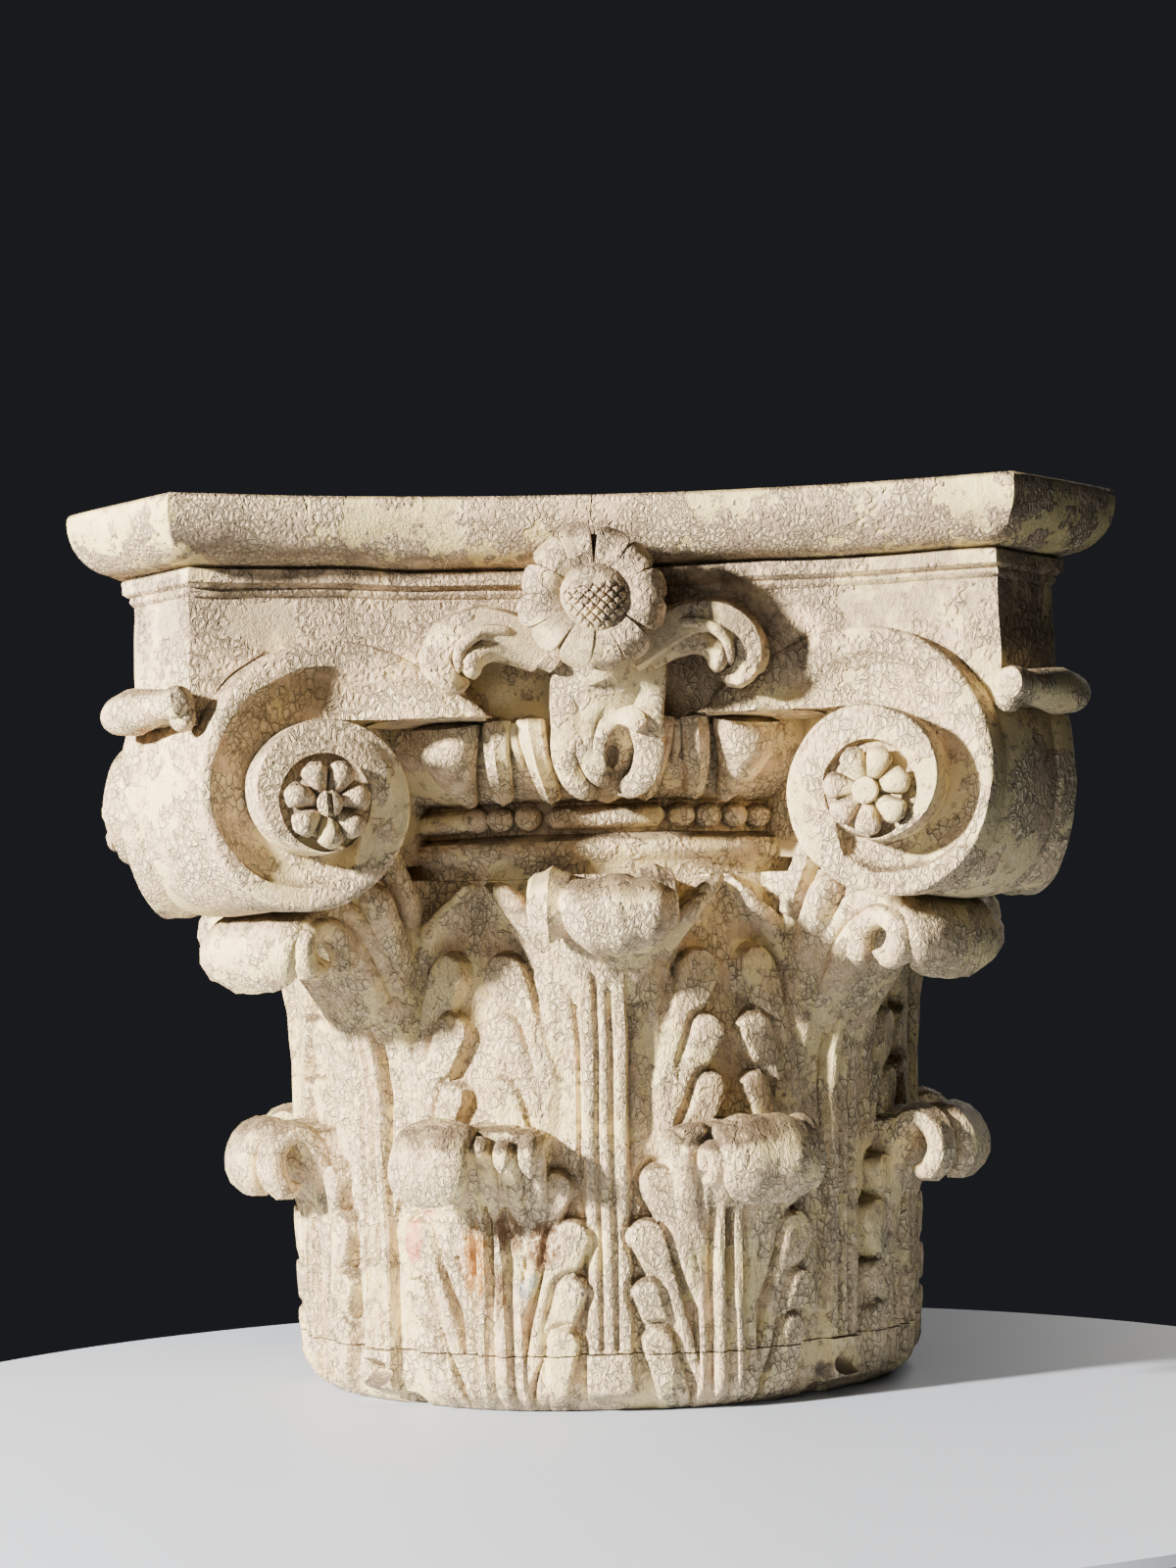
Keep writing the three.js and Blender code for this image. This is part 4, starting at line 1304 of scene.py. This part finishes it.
BEIGE = colour(222, 196, 159)
CREAM = colour(238, 219, 178)
YELLOW = colour(240, 222, 154)
PALE = colour(242, 224, 193)
GREY_UNDER = colour(168, 149, 126)
# Grey-brown for dirt and for painted shade in hollows and niches.
DIRT_AND_SHADE = colour(124, 111, 97)
CRACK = colour(112, 94, 76)
DUST = colour(104, 87, 68)
WOOD = colour(186, 132, 66)
DARK_WOOD = colour(112, 76, 44)
RED_PAINT = colour(220, 140, 118)
BLUE_PAINT = colour(150, 160, 160)
RUST = colour(170, 104, 40)

# Centre and radii in millimetres, colour and strength of each local trace in the photograph.
TRACES = (
    ((-103, -157, 100), (6, 16, 22), RED_PAINT, 0.8),
    ((-93, -160, 117), (4, 9, 12), RED_PAINT, 0.7),
    ((-70, -178, 84), (9, 20, 30), WOOD, 0.9),
    ((-50, -188, 100), (10, 22, 16), DARK_WOOD, 0.85),
    ((-56, -184, 70), (6, 20, 18), DARK_WOOD, 0.75),
    ((-31, -190, 94), (11, 22, 17), DARK_WOOD, 0.85),
    ((-39, -188, 73), (10, 20, 10), BLUE_PAINT, 0.8),
    ((-60, -200, 154), (46, 34, 9), DUST, 0.8),
    ((62, -200, 154), (42, 34, 10), DUST, 0.9),
    ((12, -205, 284), (44, 30, 11), DUST, 0.7),
    ((-138, -250, 281), (26, 16, 5), RUST, 0.85),
    ((44, -206, 356), (4, 10, 14), RUST, 0.6),
    ((-143, -243, 483), (7, 10, 3), DARK_WOOD, 0.8),
    ((-232, -226, 374), (5, 8, 4), RUST, 0.7),
    # These two marks are dirt and painted shade in the foot's niches.
    ((128, -124, 18), (17, 17, 8), DIRT_AND_SHADE, 0.8),
    ((-128, -124, 18), (15, 15, 8), DIRT_AND_SHADE, 0.7),
)


def old_paint(name, cracks=3.6, yellow=0.5, grain=0.0, dirt_and_shade=1.0, worn_and_shaded_top=0.78):
    """Many coats of old cream paint: alligatored, flaked in patches, with dirt and painted shade in the
    hollows.
    """
    f = Finish(name)
    f.ragged = f.warped(8, 9)
    lumps = ((43, 4), (19, 4), (7.3, 4), (2.1, 3))
    broad, middle, small, tiny = (f.noise(size, detail, 0.66) for size, detail in lumps)
    up = f.axis("Z")
    # Alligatoring: cells of two sizes with curled edges, absent where the paint lies smooth.
    upright = f.stretched((1, 1, 0.62), f.warped(5, 3.4))
    edge = f.cells(cracks, "DISTANCE_TO_EDGE", upright, "Distance")
    fine_edge = f.cells(cracks * 0.42, "DISTANCE_TO_EDGE", upright, "Distance")
    level = f.cells(cracks, "F1", upright, "Color")
    smooth = f.ramp(broad, 0.53, 0.56)
    rough_area = f.flip(f.times(smooth, 0.8))
    crack = f.times(f.ramp(edge, 0.09, 0.02), rough_area, f.ramp(middle, 0.4, 0.56))
    fine = f.times(f.ramp(fine_edge, 0.08, 0.02), rough_area, f.ramp(small, 0.45, 0.6))
    curled = f.times(f.ramp(edge, 0.32, 0.08), rough_area)
    # Small chips that show the grey coat under the cream one.
    chips = f.times(f.ramp(small, 0.6, 0.63), f.ramp(broad, 0.42, 0.55))
    base = f.mix(f.ramp(middle, 0.42, 0.58), BEIGE, CREAM)
    # The board's moulded edge shows more of the grey coat.
    edge_band = f.times(f.ramp(middle, 0.56, 0.5), f.ramp(up, 0.477, 0.47), f.ramp(up, 0.45, 0.458))
    base = f.mix(f.times(edge_band, yellow, 0.8), base, GREY_UNDER)
    base = f.mix(f.times(smooth, yellow), base, YELLOW)
    base = f.mix(f.times(f.ramp(small, 0.44, 0.3), 0.6), base, PALE)
    height = f.plus(
        f.times(curled, 0.55), f.times(crack, -0.8), f.times(fine, -0.4), f.times(chips, -0.45),
        f.times(smooth, -0.3), f.times(level, rough_area, 0.3), f.times(tiny, 0.5), f.times(small, 0.5),
    )
    if grain:
        # Upright grain of the wood and of the brush on the bell, which also gets less of the dirt and painted
        # shade.
        bell = f.times(f.ramp(up, 0.275, 0.235), grain)
        along_grain = f.stretched((1, 1, 0.055), f.ragged)
        streak = f.noise(3.4, 3, 0.6, along_grain)
        thin_streak = f.noise(1.3, 2, 0.6, along_grain)
        base = f.mix(f.times(f.ramp(streak, 0.52, 0.64), bell, 0.5), base, YELLOW)
        base = f.mix(f.times(f.ramp(streak, 0.44, 0.34), bell, 0.45), base, GREY_UNDER)
        base = f.mix(f.times(f.ramp(thin_streak, 0.42, 0.33), bell, 0.28), base, CRACK)
        dirt_and_shade = f.times(dirt_and_shade, f.flip(f.times(bell, 0.7)))
        height = f.plus(height, f.times(streak, bell, 1.8), f.times(thin_streak, bell, 0.9))
    base = f.mix(f.times(chips, 0.7), base, GREY_UNDER)
    # The fascia and the volutes' tops have lost more of the cream coat, and the grey there is also painted
    # shade.
    worn_and_shaded = f.times(f.ramp(up, 0.375, 0.42), f.ramp(middle, 0.36, 0.52), worn_and_shaded_top)
    base = f.mix(worn_and_shaded, base, GREY_UNDER)
    base = f.mix(f.times(crack, 0.72), base, CRACK)
    base = f.mix(f.times(fine, 0.4), base, CRACK)
    base = f.mix(f.times(f.ramp(middle, 0.5, 0.66), f.ramp(broad, 0.52, 0.44), 0.5), base, GREY_UNDER)
    # Dirt and painted shade: hollows found by ambient occlusion are darkened towards grey-brown.
    hollow = f.flip(f.occlusion(13))
    hollow_dirt_and_shade = f.times(f.ramp(hollow, 0.4, 1.0), f.plus(0.4, small), dirt_and_shade)
    base = f.mix(f.math("MINIMUM", hollow_dirt_and_shade, 0.55), base, DIRT_AND_SHADE)
    dust = f.times(f.facing_up(0.3, 0.75), f.plus(0.45, f.times(f.ramp(middle, 0.3, 0.6), 0.4)))
    base = f.mix(dust, base, DUST)
    for centre, radii, tint, strength in TRACES:
        share = f.times(f.near(centre, radii), strength, f.ramp(small, 0.28, 0.5))
        base = f.mix(share, base, tint)
    roughness = f.plus(0.62, f.times(small, 0.25))
    return f.finish(base, roughness, height, 1.25)


def plain(name, shade):
    """A plain finish for the floor: pale, even, very faintly marked."""
    f = Finish(name)
    marks = f.ramp(f.noise(220, 5, 0.6), 0.5, 0.75)
    base = f.mix(f.times(marks, 0.12), colour(*shade), colour(*(v - 14 for v in shade)))
    return f.finish(base, 0.5, f.noise(12, 3), 0.02)


# ---- Floor, light and camera ----

def make_floor():
    """A round table top, a hair under the capital's foot."""
    floor = revolve("floor", [(430, -30), (455, -28), (458, -4), (454, 0), (300, 0)], 128)
    floor.data.transform(Matrix.Translation((0, -0.16, -0.0004)))
    shade_smooth(floor)
    floor.data.materials.append(plain("floor_white", (184, 194, 212)))


def area_light(name, place, target, size, power, colour):
    """A round soft light aimed at a target. Sizes are in metres and the power in watts."""
    light = bpy.data.lights.new(name, "AREA")
    light.shape = "DISK"
    light.size = size
    light.energy = power
    light.color = colour
    lamp = bpy.data.objects.new(name, light)
    bpy.context.scene.collection.objects.link(lamp)
    lamp.location = place
    lamp.rotation_euler = (Vector(target) - Vector(place)).to_track_quat("-Z", "Y").to_euler()


def make_lights():
    target = (0, 0, 0.25)
    area_light("key", (-1.76, -1.24, 0.96), target, 0.18, 312, (1, 0.92, 0.8))
    area_light("fill", (-0.9, -2.7, 0.6), target, 1.6, 7, (0.93, 0.96, 1))
    area_light("back", (1.3, 2.2, 1.1), target, 1.4, 30, (1, 0.95, 0.88))
    world = bpy.data.worlds.new("studio")
    world.use_nodes = True
    background = world.node_tree.nodes["Background"]
    background.inputs["Color"].default_value = (0.014, 0.015, 0.018, 1)
    background.inputs["Strength"].default_value = 1
    bpy.context.scene.world = world


CAMERA_PLACE = (0, -1.666, 0.237)
YAW, PITCH, ROLL = 0.2, 3.87, -1.42  # degrees


def make_camera():
    data = bpy.data.cameras.new("camera")
    data.sensor_fit = "VERTICAL"
    data.sensor_height = 36
    data.lens = 63
    camera = bpy.data.objects.new("camera", data)
    bpy.context.scene.collection.objects.link(camera)
    aim = Matrix.Rotation(YAW * DEG, 4, "Z") @ Matrix.Rotation((90 + PITCH) * DEG, 4, "X")
    roll = Matrix.Rotation(ROLL * DEG, 4, "Z")
    camera.matrix_world = Matrix.Translation(CAMERA_PLACE) @ aim @ roll
    bpy.context.scene.camera = camera


# ---- Assembly ----

def shade_smooth(piece, angle=38):
    mesh = piece.data
    mesh.polygons.foreach_set("use_smooth", np.ones(len(mesh.polygons), dtype=bool))
    mesh.set_sharp_from_angle(angle=angle * DEG)


def place(piece, node, slot, material):
    """Gives a finished piece its name, finish and body, in place of its CAD node. Its slot is not used."""
    shade_smooth(piece)
    piece.name = node + "_look"
    piece.data.materials.clear()
    piece.data.materials.append(material)
    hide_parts(node)
    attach(piece, "root")


def main():
    board = make_board()
    combine(board, [crack_blade(0, 490, 1.5, 464, 0.8)], "DIFFERENCE")
    block, foot = make_block_and_foot()
    for piece in (board, block, foot):
        carve_by_hand(piece)
    board_paint = old_paint("abacus_paint", cracks=3, yellow=0.9, dirt_and_shade=0.8, worn_and_shaded_top=0.25)
    place(board, "abacus_board", "abacus_paint", board_paint)
    place(block, "capital_block", "carved_paint", old_paint("carved_paint", grain=1.0))
    place(foot, "foot_ring", "foot_paint", old_paint("foot_paint", grain=0.7, dirt_and_shade=1.1))
    paints = {"rosette": old_paint("rosette_paint", cracks=2.6), "peg": old_paint("peg_paint", cracks=2.2)}
    for name, piece in make_rosettes().items():
        carve_by_hand(piece)
        slot = name.split("_")[0]
        place(piece, name, slot, paints[slot])
    make_floor()
    make_lights()
    make_camera()


main()
